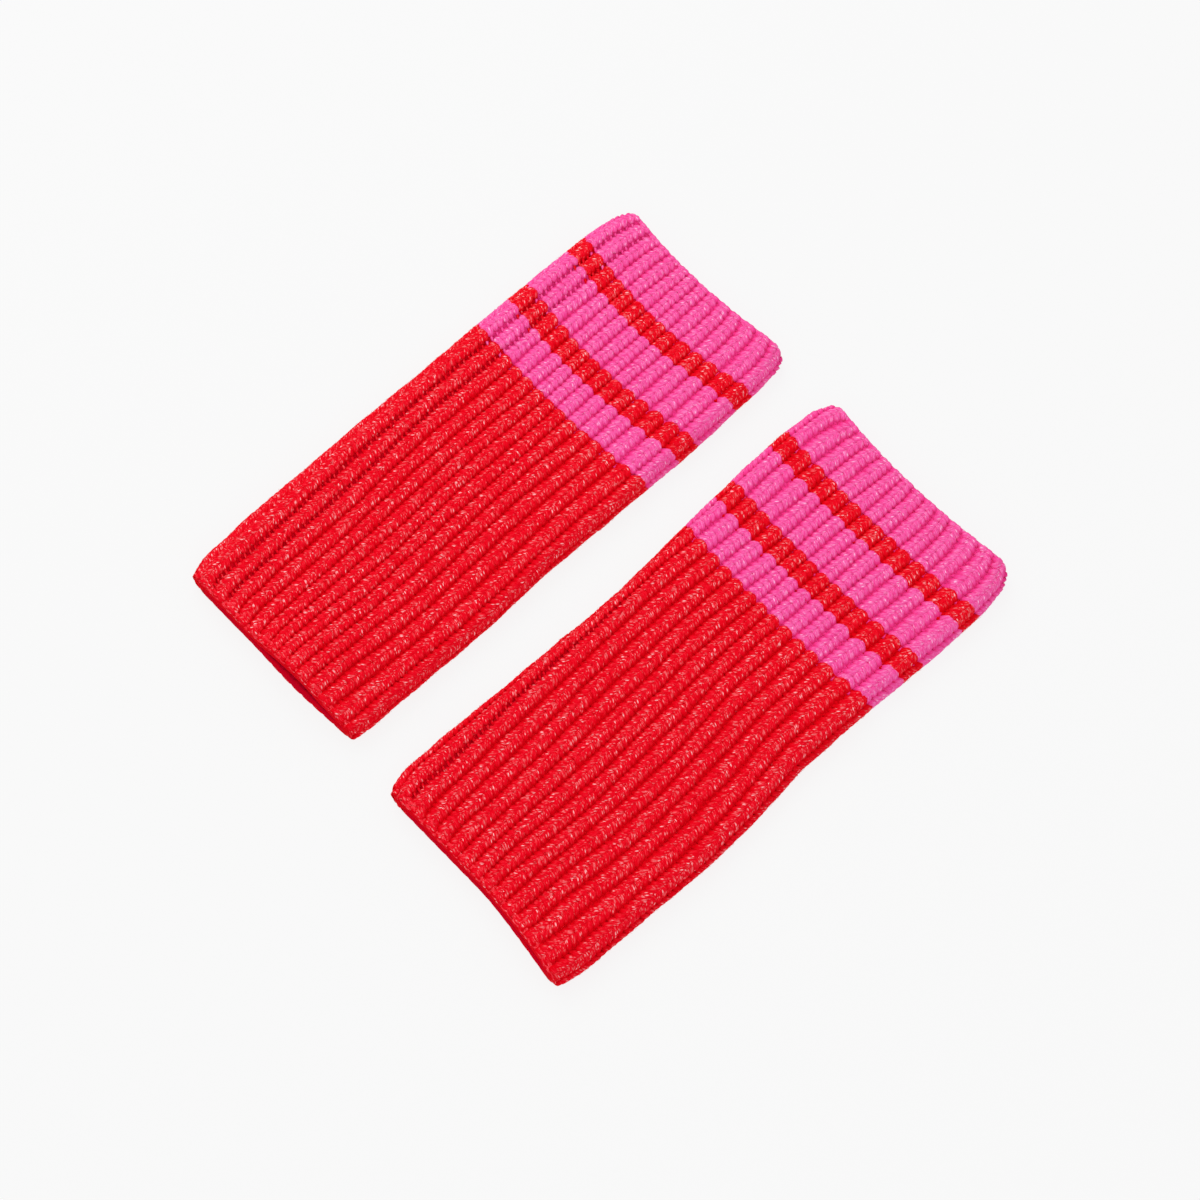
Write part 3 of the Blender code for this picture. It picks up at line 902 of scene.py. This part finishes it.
    def hollow(self, surface, over, under, along):
        """The plain inside: its upper face follows the ribs across, and its lower face is flat."""
        left, right = edges_of(surface.warmer, along[:, None])
        crest = surface.read(*np.meshgrid(over, along), 0.0)[..., 0]
        low = left + FOLD_WALL
        high = right - FOLD_WALL
        squeeze = self.SQUEEZE * over / RIBS_ACROSS
        upper_x = np.clip(crest, low + squeeze, high - (self.SQUEEZE - squeeze))
        lift = layer_lift(surface.warmer, (upper_x - left) / (right - left), along[:, None])
        upper_z = LAYER + GAP + lift
        share = (under - RIBS_ACROSS) / RIBS_UNDER
        lower_x = high + (low - high) * share
        x = np.concatenate([upper_x, lower_x], axis=1)
        z = np.concatenate([upper_z, np.full(lower_x.shape, LAYER)], axis=1)
        return np.stack([x, surface.row_y(x, z, along[:, None]), z], axis=-1)


class WARMERS_OT_stitches(bpy.types.Operator):
    """Lay the knit stitches on the ribs: two slanting legs for each, like rows of small roofs"""

    bl_idname = "warmers.stitches"
    bl_label = "Rib stitches"

    # Places of the rings along a leg, and of the points round one, which is flat beneath
    SHARES = (0.0, 0.05, 0.27, 0.52, 0.77, 0.95, 1.0)
    TURNS = (-22.0, 28.0, 66.0, 114.0, 152.0, 202.0)

    # How far a leg starts past the middle of its rib, and where it ends, 1 being the valley's middle
    CROSSING = 0.10
    REACH = 0.82
    SEAM_REACH = 0.67
    SHALLOW_REACH = 0.93

    # The power at which a leg falls as it reaches out
    FALL_POWER = 1.1

    # How much wider the legs on the folded sides are, so that the outline stays even
    SIDE_WIDTH = 0.60

    # How far the middle of a leg stays from either end, as a share of its width
    END_MARGIN = 0.42

    # The furrow down the middle of a rib: its width, its depth and the shade painted in it, and the
    # drop at a leg's far end
    FURROW_WIDTH = 0.38
    FURROW_DEPTH = 0.30 * MM
    FURROW_PAINTED_SHADE = 0.25
    END_DROP = 0.22 * MM

    # How far the start and the end of a leg are thinned, and how far a leg tips towards the cuff
    START_THINNING = 0.30
    END_THINNING = 0.25
    LEAN = 0.10 * MM

    # How much shade is painted on the flanks of a rib, and between which distances from its middle it
    # darkens them
    RIB_FLANK_PAINTED_SHADE = 0.95
    FLANK_START = 0.34
    FLANK_WIDTH = 0.48

    # Unevenness of the knitting: of a pair's place, a leg's place, height, reach, fall, width and tone
    PAIR_SHIFT = 0.08 * MM
    LEG_SHIFT = 0.06 * MM
    LEG_RISE = 0.05 * MM
    UNEVEN_REACH = 0.03
    UNEVEN_FALL = 0.06
    UNEVEN_WIDTH = 0.06
    UNEVEN_TONE = 0.12

    def execute(self, context):
        return for_each_warmer(context, self.knit)

    def knit(self, surface, sizes, materials):
        """A leg starts just past the rib's middle and falls outwards and towards the hem.

        Its distance from the middle grows evenly, and its fall grows as a power of that distance,
        so a pair of legs makes a rounded peak. It starts a little sunk, which leaves a faint furrow
        down the middle of the rib. Legs near a seam end early, and those near a fold end late.
        """
        warmer = surface.warmer
        random = np.random.default_rng(warmer.seed)
        places, _, yarns = rows_of(warmer)
        rows = len(places)
        rib, row, hand = np.meshgrid(np.arange(RIBS_ACROSS), np.arange(rows), (-1.0, 1.0), indexing="ij")
        rib, row, hand = rib.ravel(), row.ravel(), hand.ravel()
        count = len(rib)
        pair = random.normal(0.0, self.PAIR_SHIFT, (RIBS_ACROSS, rows))[rib, row]
        apex = places[row] + pair + random.normal(0.0, self.LEG_SHIFT, count)
        share = np.array(self.SHARES)[None, :]
        valley = rib + (hand > 0.0)
        seam = seam_at(warmer, valley, places[row])
        shallow = np.isin(valley, warmer.shallow)
        reach = np.where(shallow, self.SHALLOW_REACH, self.REACH + (self.SEAM_REACH - self.REACH) * seam)
        reach = reach[:, None] + random.normal(0.0, self.UNEVEN_REACH, (count, 1))
        side = hand[:, None] * (share * (reach + self.CROSSING) - self.CROSSING)
        half = 0.5 * surface.rib_width(rib, places[row])[:, None]
        fall = sizes.leg_fall * half * reach * (1.0 + random.normal(0.0, self.UNEVEN_FALL, (count, 1)))
        from_side = np.minimum(rib, RIBS_ACROSS - 1 - rib)[:, None]
        folded = self.SIDE_WIDTH * np.clip(1.0 - 0.5 * from_side, 0.0, 1.0)
        breadth = 1.0 + folded + random.normal(0.0, self.UNEVEN_WIDTH, (count, 1)) * (from_side > 1)
        margin = self.END_MARGIN * sizes.leg_width * breadth
        along = np.clip(apex[:, None] - fall * share ** self.FALL_POWER, margin, surface.length - margin)
        ribs = rib[:, None] + 0.5 + 0.5 * side
        height = legs_bed(sizes, warmer, ribs, along) + random.normal(0.0, self.LEG_RISE, (count, 1))
        furrow = 1.0 - smooth_step((hand[:, None] * side + self.CROSSING) / self.FURROW_WIDTH)
        height = height - self.FURROW_DEPTH * furrow - self.END_DROP * share ** 5
        centres, outward = surface.line(ribs, along, height)
        plump = 1.0 - self.START_THINNING * (1.0 - share) ** 6 + np.zeros((count, 1))
        width = 0.5 * sizes.leg_width * plump * breadth
        thick = 0.5 * sizes.leg_height * (plump - self.END_THINNING * share ** 6)
        tubes = tapered_yarn(centres, outward, width, thick, self.LEAN, self.TURNS)
        painted_flank_shade = smooth_step((np.abs(side) - self.FLANK_START) / self.FLANK_WIDTH)
        tone = 1.0 - self.RIB_FLANK_PAINTED_SHADE * stretch(warmer, ribs) * painted_flank_shade - self.FURROW_PAINTED_SHADE * furrow
        tone = tone + random.normal(0.0, self.UNEVEN_TONE, (count, 1))
        yarn_piece(f"{warmer.side}_stitches", tubes, yarns[row], tone, random, materials)


class WARMERS_OT_purl_bars(bpy.types.Operator):
    """Lay the purl bars: a short bar of yarn in each valley at each row, higher and slanted in seams"""

    bl_idname = "warmers.purl_bars"
    bl_label = "Purl bars and side seam"

    SHARES = (0.0, 0.15, 0.5, 0.85, 1.0)
    TURNS = (-54.0, 18.0, 90.0, 162.0, 234.0)

    # The length of a bar as a share of a rib, how far it arches up, half its thickness, and how far
    # the bars keep from the ends
    LENGTH = 0.40
    ARCH = 0.2 * MM
    HALF_HEIGHT = 0.35 * MM
    MARGIN = 1.0 * MM

    # How far down the fall of the legs a bar lies, as a share of it, and how uneven its place, slant and
    # height are
    FALL_SHARE = 0.45
    UNEVEN_PLACE, UNEVEN_SLANT, UNEVEN_HEIGHT = 0.12 * MM, 0.15 * MM, 0.07 * MM

    # How much shade is painted on the bars down in the valleys, darker than the ribs, and how uneven
    # their tone is
    PAINTED_VALLEY_SHADE = 0.92
    UNEVEN_TONE = 0.08

    # How deep a bar lies where the ribs are flat, how much deeper between full ribs, and how much
    # higher each is in the seam
    DEPTH, SEAM_RISE = 1.2 * MM, 0.2 * MM
    VALLEY, SEAM_VALLEY_RISE = 0.65 * MM, 0.10 * MM

    # The seam's bars: their slant along the tube, how much narrower they are and how much less
    # painted shade they get
    SEAM_SLANT = 1.1 * MM
    SEAM_THINNING = 0.45
    SEAM_TONE = 0.55

    def execute(self, context):
        return for_each_warmer(context, self.lay)

    def lay(self, surface, sizes, materials):
        """Each bar is a low arch across its valley, between the ends of the legs on either side."""
        warmer = surface.warmer
        random = np.random.default_rng(warmer.seed + 1)
        places, pitches, yarns = rows_of(warmer)
        valley, row = np.meshgrid(np.arange(1, RIBS_ACROSS), np.arange(1, len(places)), indexing="ij")
        valley, row = valley.ravel(), row.ravel()
        count = len(valley)
        seam = seam_at(warmer, valley, places[row])[:, None]
        share = np.array(self.SHARES)[None, :]
        fall = self.FALL_SHARE * sizes.leg_fall * surface.rib_width(valley - 0.5, places[row])
        place = (places[row] - fall - 0.5 * pitches[row])[:, None]
        place = place + random.normal(0.0, self.UNEVEN_PLACE, (count, 1))
        slant = random.normal(0.0, self.UNEVEN_SLANT, (count, 1)) - self.SEAM_SLANT * seam
        along = np.clip(place + slant * (share - 0.5), self.MARGIN, surface.length - self.MARGIN)
        ribs = valley[:, None] + (share - 0.5) * self.LENGTH
        relief = rib_relief(warmer, ribs, along)
        depth = self.DEPTH - self.SEAM_RISE * seam + (self.VALLEY - self.SEAM_VALLEY_RISE * seam) * relief
        height = self.ARCH * np.sin(np.pi * share) - depth
        height = height + random.normal(0.0, self.UNEVEN_HEIGHT, (count, 1))
        centres, outward = surface.line(ribs, along, height)
        plump = np.sin(np.pi * (0.2 + 0.6 * share)) ** 0.6 * np.ones((count, 1))
        width = 0.5 * (1.0 - self.SEAM_THINNING * seam) * sizes.bar_width * plump
        tubes = tapered_yarn(centres, outward, width, self.HALF_HEIGHT * plump, 0.0, self.TURNS)
        tone = 1.0 - self.PAINTED_VALLEY_SHADE * stretch(warmer, ribs) + self.SEAM_TONE * seam
        tone = tone + random.normal(0.0, self.UNEVEN_TONE, (count, 1))
        yarn_piece(f"{warmer.side}_purl_bars", tubes, yarns[row], tone, random, materials)


class WARMERS_OT_chains(bpy.types.Operator):
    """Finish the ends: a fleecy cast-on edge at the red hem and a smooth rolled one at the pink end"""

    bl_idname = "warmers.chains"
    bl_label = "Edge chains"

    SHARES = (0.0, 0.10, 0.32, 0.55, 0.78, 0.93, 1.0)
    TURNS = (-60.0, 0.0, 60.0, 120.0, 180.0, 240.0)

    # The lengths of the strands of each kind, in links of half a rib, and how uneven their places are
    FLEECE_LENGTH, ROLL_LENGTH, LOWER_LENGTH, BRIM_LENGTH = 1.3, 3.5, 3.2, 2.4
    UNEVEN_START = 0.08

    # How flat a strand is, how uneven its width, its height on the ribs and its tone are
    FLATNESS = 0.75
    UNEVEN_WIDTH = 0.06
    UNEVEN_HEIGHT = 0.05 * MM
    UNEVEN_TONE = 0.15

    # The fleece's two rows: how far from the hem each lies, how far its strands bow apart and how uneven
    # it is, and how far across the second row is shifted
    FLEECE_ROWS = ((0.75 * MM, 0.45 * MM, 0.06 * MM), (2.15 * MM, 0.75 * MM, 0.30 * MM))
    FLEECE_SHIFT = 0.25

    # How far from the cuff the roll lies, and how far its strands bow apart
    ROLL_INSET, ROLL_BOW = 0.80 * MM, 0.10 * MM

    # How deep under the rib crests the middle of the upper layer's wall is, how high the middle of the
    # lower one is as a share of it, how far two strands bow apart there, and how far they sink in
    BRIM_DEPTH = 2.9 * MM
    LOWER_HEIGHT = 0.52
    BOW = 0.90 * MM
    SINK = 0.25 * MM

    # How much further the lower strands keep in at the rounded corners
    CORNER_SINK = 1.2 * MM

    # Tones: the fleece and the roll on the ribs, then painted shade on the lower layer's edge and on
    # the upper one's, darker at the hem
    FLEECE_TONE, ROLL_TONE, LOWER_TONE = 1.7, 0.8, -0.6
    BRIM_PAINTED_SHADES = {"hem": 0.1, "cuff": 0.7}

    def execute(self, context):
        return for_each_warmer(context, self.finish_ends)

    def finish_ends(self, surface, sizes, materials):
        self.edge(surface, sizes, materials, "hem", RED, (self.fleece, self.lower, self.brim))
        self.edge(surface, sizes, materials, "cuff", PINK, (self.roll, self.lower, self.brim))

    def edge(self, surface, sizes, materials, end, yarn, makers):
        """Makes the strands of one end and keeps them as one piece."""
        random = np.random.default_rng(surface.warmer.seed + (2 if end == "hem" else 3))
        parts = [maker(surface, sizes, end, random) for maker in makers]
        centres = np.concatenate([part[0] for part in parts])
        outward = np.concatenate([part[1] for part in parts])
        count = len(centres)
        share = np.array(self.SHARES)[None, :]
        uneven = 1.0 + random.normal(0.0, self.UNEVEN_WIDTH, (count, 1))
        plump = np.sin(np.pi * (0.15 + 0.7 * share)) ** 0.5 * uneven
        half = 0.5 * sizes.chain_width
        tubes = tapered_yarn(centres, outward, half * plump, self.FLATNESS * half * plump, 0.0, self.TURNS)
        shade = np.concatenate([np.full((len(part[0]), 1), part[2]) for part in parts])
        tone = shade + random.normal(0.0, self.UNEVEN_TONE, (count, 1)) + 0.0 * share
        name = f"{surface.warmer.side}_{end}_chain"
        yarn_piece(name, tubes, np.full(count, yarn), tone, random, materials)

    def strands(self, links, length, random):
        """The places and the sideways bows of all strands of a chain, two for each link."""
        link, hand = np.meshgrid(np.arange(links), (-1.0, 1.0), indexing="ij")
        share = np.array(self.SHARES)[None, :]
        bow = hand.ravel()[:, None] * np.sin(np.pi * share) ** 0.8
        start = link.ravel()[:, None] + random.normal(0.0, self.UNEVEN_START, (2 * links, 1))
        return start + length * share, bow

    def lay_over(self, surface, sizes, ribs, along, random):
        """The lines and directions of strands on the ribbed side, sunk as the ribs are there."""
        height = legs_bed(sizes, surface.warmer, ribs, along)
        height = height + random.normal(0.0, self.UNEVEN_HEIGHT, (len(ribs), 1))
        return surface.line(ribs, along, height)

    def fleece(self, surface, sizes, end, random):
        """Two rows of short uneven loops that run the ribs together along the hem."""
        place, bow = self.strands(2 * RIBS_ACROSS - 1, self.FLEECE_LENGTH, random)
        ribs = np.clip(0.5 * place, 0.0, RIBS_ACROSS)
        along = np.concatenate([inset + apart * bow + random.normal(0.0, uneven, (len(ribs), 1))
                                for inset, apart, uneven in self.FLEECE_ROWS])
        ribs = np.concatenate([ribs, np.clip(ribs + self.FLEECE_SHIFT, 0.0, RIBS_ACROSS)])
        return *self.lay_over(surface, sizes, ribs, along, random), self.FLEECE_TONE

    def roll(self, surface, sizes, end, random):
        """Long flat strands along the cuff that follow its ribs and leave its edge smooth."""
        place, bow = self.strands(2 * RIBS_ACROSS - 3, self.ROLL_LENGTH, random)
        ribs = np.clip(0.5 * place, 0.0, RIBS_ACROSS)
        along = surface.length - self.ROLL_INSET + self.ROLL_BOW * bow
        return *self.lay_over(surface, sizes, ribs, along, random), self.ROLL_TONE

    def lower(self, surface, sizes, end, random):
        """The strands on the lower layer's edge, facing out of the opening, in painted shade."""
        links = 2 * RIBS_UNDER
        place, bow = self.strands(links, self.LOWER_LENGTH, random)
        at, sign = self.end_of(surface, end)
        left, right = edges_of(surface.warmer, np.array(at))
        left, right = left + 0.5 * FOOT, right - 0.5 * FOOT
        across = np.clip(place / (links - 1.0 + self.LOWER_LENGTH), 0.0, 1.0)
        x = left + (right - left) * across
        z = self.LOWER_HEIGHT * LAYER + self.BOW * bow
        inward = self.SINK + self.CORNER_SINK * np.abs(2.0 * across - 1.0) ** 16
        y = surface.row_y(x, z, at * np.ones_like(x)) - sign * inward
        centres = np.stack([x, y, z], axis=-1)
        return centres, self.facing(sign, centres), self.LOWER_TONE

    def brim(self, surface, sizes, end, random):
        """The loops on the upper layer's edge, along the middle of its wall and round the folds."""
        place, bow = self.strands(2 * RIBS_ACROSS - 2, self.BRIM_LENGTH, random)
        ribs = np.clip(0.5 * place, 0.0, RIBS_ACROSS)
        at, sign = self.end_of(surface, end)
        centres = surface.read(ribs, at + 0.0 * ribs, self.BOW * bow - self.BRIM_DEPTH)
        centres[..., 1] -= sign * self.SINK
        # The brim's strands are in painted shade, darker at the hem than at the cuff
        return centres, self.facing(sign, centres), self.BRIM_PAINTED_SHADES[end]

    def end_of(self, surface, end):
        """How far along an end is, and the sign of the direction that it faces."""
        return (0.0, -1.0) if end == "hem" else (surface.length, 1.0)

    def facing(self, sign, centres):
        return np.broadcast_to(np.array([0.0, sign, 0.0]), centres.shape)


class WARMERS_OT_fuzz(bpy.types.Operator):
    """Raise the nap: thousands of short bent fibres, each a closed three-sided spike"""

    bl_idname = "warmers.fuzz"
    bl_label = "Loose fibres"

    SHARES = (0.0, 0.35, 0.75, 1.0)
    TURNS = (-30.0, 90.0, 210.0)

    # Half a fibre's thickness at its root, the lowest that it comes to the table, and the width of a
    # rib by which its steps across are measured
    HALF_THICKNESS = 0.045 * MM
    LOWEST = 0.15 * MM
    RIB_WIDTH = 6.0 * MM

    # How far from either end the fibres keep, and how high over the bed of the legs they start, as a
    # share of a leg's thickness
    MARGIN = 1.0 * MM
    ROOT_HEIGHT = 0.42

    # How much a fibre turns, in radians, how far it bends back down and how thin its tip gets
    CURL = 0.9
    BEND = 0.35
    TAPER = 0.6

    # The tone of the fibres and how uneven it is, and how far a row's yarn hangs at a rib's flanks
    TONE, UNEVEN_TONE = 0.8, 0.2
    ROW_HANG = 0.8 * MM

    # Ranges: the place across a rib, its length as a share of the mean, and its slope in radians
    ACROSS = (-0.92, 0.92)
    LENGTHS = (0.5, 1.6)
    SLOPES = (0.10, 0.55)

    def execute(self, context):
        return for_each_warmer(context, self.raise_nap)

    def raise_nap(self, surface, sizes, materials):
        """A fibre starts on a rib, leaves it at a low angle and bends back towards it."""
        warmer = surface.warmer
        random = np.random.default_rng(warmer.seed + 4)
        count = sizes.fibres
        rib = random.integers(0, RIBS_ACROSS, count)
        side = random.uniform(*self.ACROSS, count)
        along = random.uniform(self.MARGIN, surface.length - self.MARGIN, count)
        length = sizes.fibre * random.uniform(*self.LENGTHS, count)
        heading = random.uniform(0.0, 2.0 * np.pi, count)
        rise = random.uniform(*self.SLOPES, count)
        share = np.array(self.SHARES)[None, :]
        level = (length * np.cos(rise))[:, None] * share
        turn = heading[:, None] + random.normal(0.0, self.CURL, (count, 1)) * share
        root = rib + 0.5 + 0.5 * side
        bed = legs_bed(sizes, warmer, root, along) + self.ROOT_HEIGHT * sizes.leg_height
        height = bed[:, None] + (length * np.sin(rise))[:, None] * (share - self.BEND * share ** 2)
        ribs = root[:, None] + level * np.cos(turn) / self.RIB_WIDTH
        places = along[:, None] + level * np.sin(turn)
        centres, outward = surface.line(ribs, places, height)
        centres[..., 2] = np.maximum(centres[..., 2], self.LOWEST)
        thin = self.HALF_THICKNESS * (1.0 - self.TAPER * share) * np.ones((count, 1))
        tubes = tapered_yarn(centres, outward, thin, thin, 0.0, self.TURNS)
        tone = self.TONE + random.normal(0.0, self.UNEVEN_TONE, (count, 1)) + 0.0 * share
        yarn = yarn_at(warmer, along + self.ROW_HANG * (np.abs(side) - 0.5))
        yarn_piece(f"{warmer.side}_fuzz", tubes, yarn, tone, random, materials)


class WARMERS_OT_declare(bpy.types.Operator):
    """Read each warmer's left and right edges at the middle of its length, and do nothing with them"""

    bl_idname = "warmers.declare"
    bl_label = "State the cloth"

    def execute(self, context):
        for warmer in WARMERS:
            left, right = edges_of(warmer, 0.5 * length_of(warmer))
        return {"FINISHED"}


class WARMERS_OT_stage(bpy.types.Operator):
    """Set the stage: a pale floor, soft studio light and the camera at the photograph's angle"""

    bl_idname = "warmers.stage"
    bl_label = "Stage"

    # The name, place, width and power of each soft light, and the strength of the room's own
    LIGHTS = (
        ("key_light", (-0.75, 0.25, 0.95), 0.9, 6.3),
        ("fill_light", (0.70, -0.55, 0.80), 1.1, 1.6),
    )
    ROOM_LIGHT = 0.77

    FLOOR_HALF_WIDTH = 20.0
    FLOOR_HEIGHT = -0.02 * MM

    def execute(self, context):
        self.lay_floor(context)
        for name, place, width, power in self.LIGHTS:
            self.hang_light(name, place, width, power)
        self.light_room(context)
        self.set_camera(context)
        return {"FINISHED"}

    def lay_floor(self, context):
        mesh = bpy.data.meshes.new("floor")
        corners = [(-1.0, -1.0), (1.0, -1.0), (1.0, 1.0), (-1.0, 1.0)]
        half = self.FLOOR_HALF_WIDTH
        mesh.from_pydata([(half * x, half * y, self.FLOOR_HEIGHT) for x, y in corners], [], [(0, 1, 2, 3)])
        colours = context.scene.yarn_colours
        mesh.materials.append(floor_material("pale_floor", four(colours.floor), colours.floor_glow))
        floor = new_object("floor", mesh)

    def hang_light(self, name, place, width, power):
        light = bpy.data.lights.new(name, "AREA")
        light.shape = "DISK"
        light.size = width
        light.energy = power
        lamp = new_object(name, light)
        lamp.location = place
        lamp.rotation_euler = (Vector(AIM) - Vector(place)).to_track_quat("-Z", "Y").to_euler()

    def light_room(self, context):
        world = bpy.data.worlds.new("studio")
        world.use_nodes = True
        background = world.node_tree.nodes["Background"]
        background.inputs["Color"].default_value = (1.0, 1.0, 1.0, 1.0)
        background.inputs["Strength"].default_value = self.ROOM_LIGHT
        context.scene.world = world
        context.scene.view_settings.view_transform = "Standard"

    def set_camera(self, context):
        camera = bpy.data.cameras.new("camera")
        camera.lens = LENS
        camera.sensor_width = SENSOR
        distance = SEEN_WIDTH * LENS / SENSOR
        flat = math.cos(ELEVATION)
        back = Vector((math.sin(AZIMUTH) * flat, -math.cos(AZIMUTH) * flat, math.sin(ELEVATION)))
        viewer = new_object("camera", camera)
        viewer.location = Vector(AIM) + distance * back
        viewer.rotation_euler = (-back).to_track_quat("-Z", "Y").to_euler()
        context.scene.camera = viewer


class WARMERS_PT_panel(bpy.types.Panel):
    """Lists the settings and the steps of the build"""

    bl_label = "Wrist warmers"
    bl_idname = "WARMERS_PT_panel"
    bl_space_type = "VIEW_3D"
    bl_region_type = "UI"
    bl_category = "Wrist warmers"

    def draw(self, context):
        for group in (context.scene.knit_sizes, context.scene.yarn_colours):
            box = self.layout.box()
            for name in group.__annotations__:
                box.prop(group, name)
        for step in STEPS:
            self.layout.operator(step.bl_idname)


STEPS = (
    WARMERS_OT_ground,
    WARMERS_OT_stitches,
    WARMERS_OT_purl_bars,
    WARMERS_OT_chains,
    WARMERS_OT_fuzz,
    WARMERS_OT_declare,
    WARMERS_OT_stage,
)
CLASSES = (KnitSizes, YarnColours) + STEPS + (WARMERS_PT_panel,)


def register():
    for item in CLASSES:
        bpy.utils.register_class(item)
    bpy.types.Scene.knit_sizes = PointerProperty(type=KnitSizes)
    bpy.types.Scene.yarn_colours = PointerProperty(type=YarnColours)


def unregister():
    del bpy.types.Scene.yarn_colours
    del bpy.types.Scene.knit_sizes
    for item in reversed(CLASSES):
        bpy.utils.unregister_class(item)


def main():
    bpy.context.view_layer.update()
    register()
    bpy.ops.warmers.ground()
    bpy.ops.warmers.stitches()
    bpy.ops.warmers.purl_bars()
    bpy.ops.warmers.chains()
    bpy.ops.warmers.fuzz()
    bpy.ops.warmers.declare()
    bpy.ops.warmers.stage()


if __name__ == "__main__":
    main()
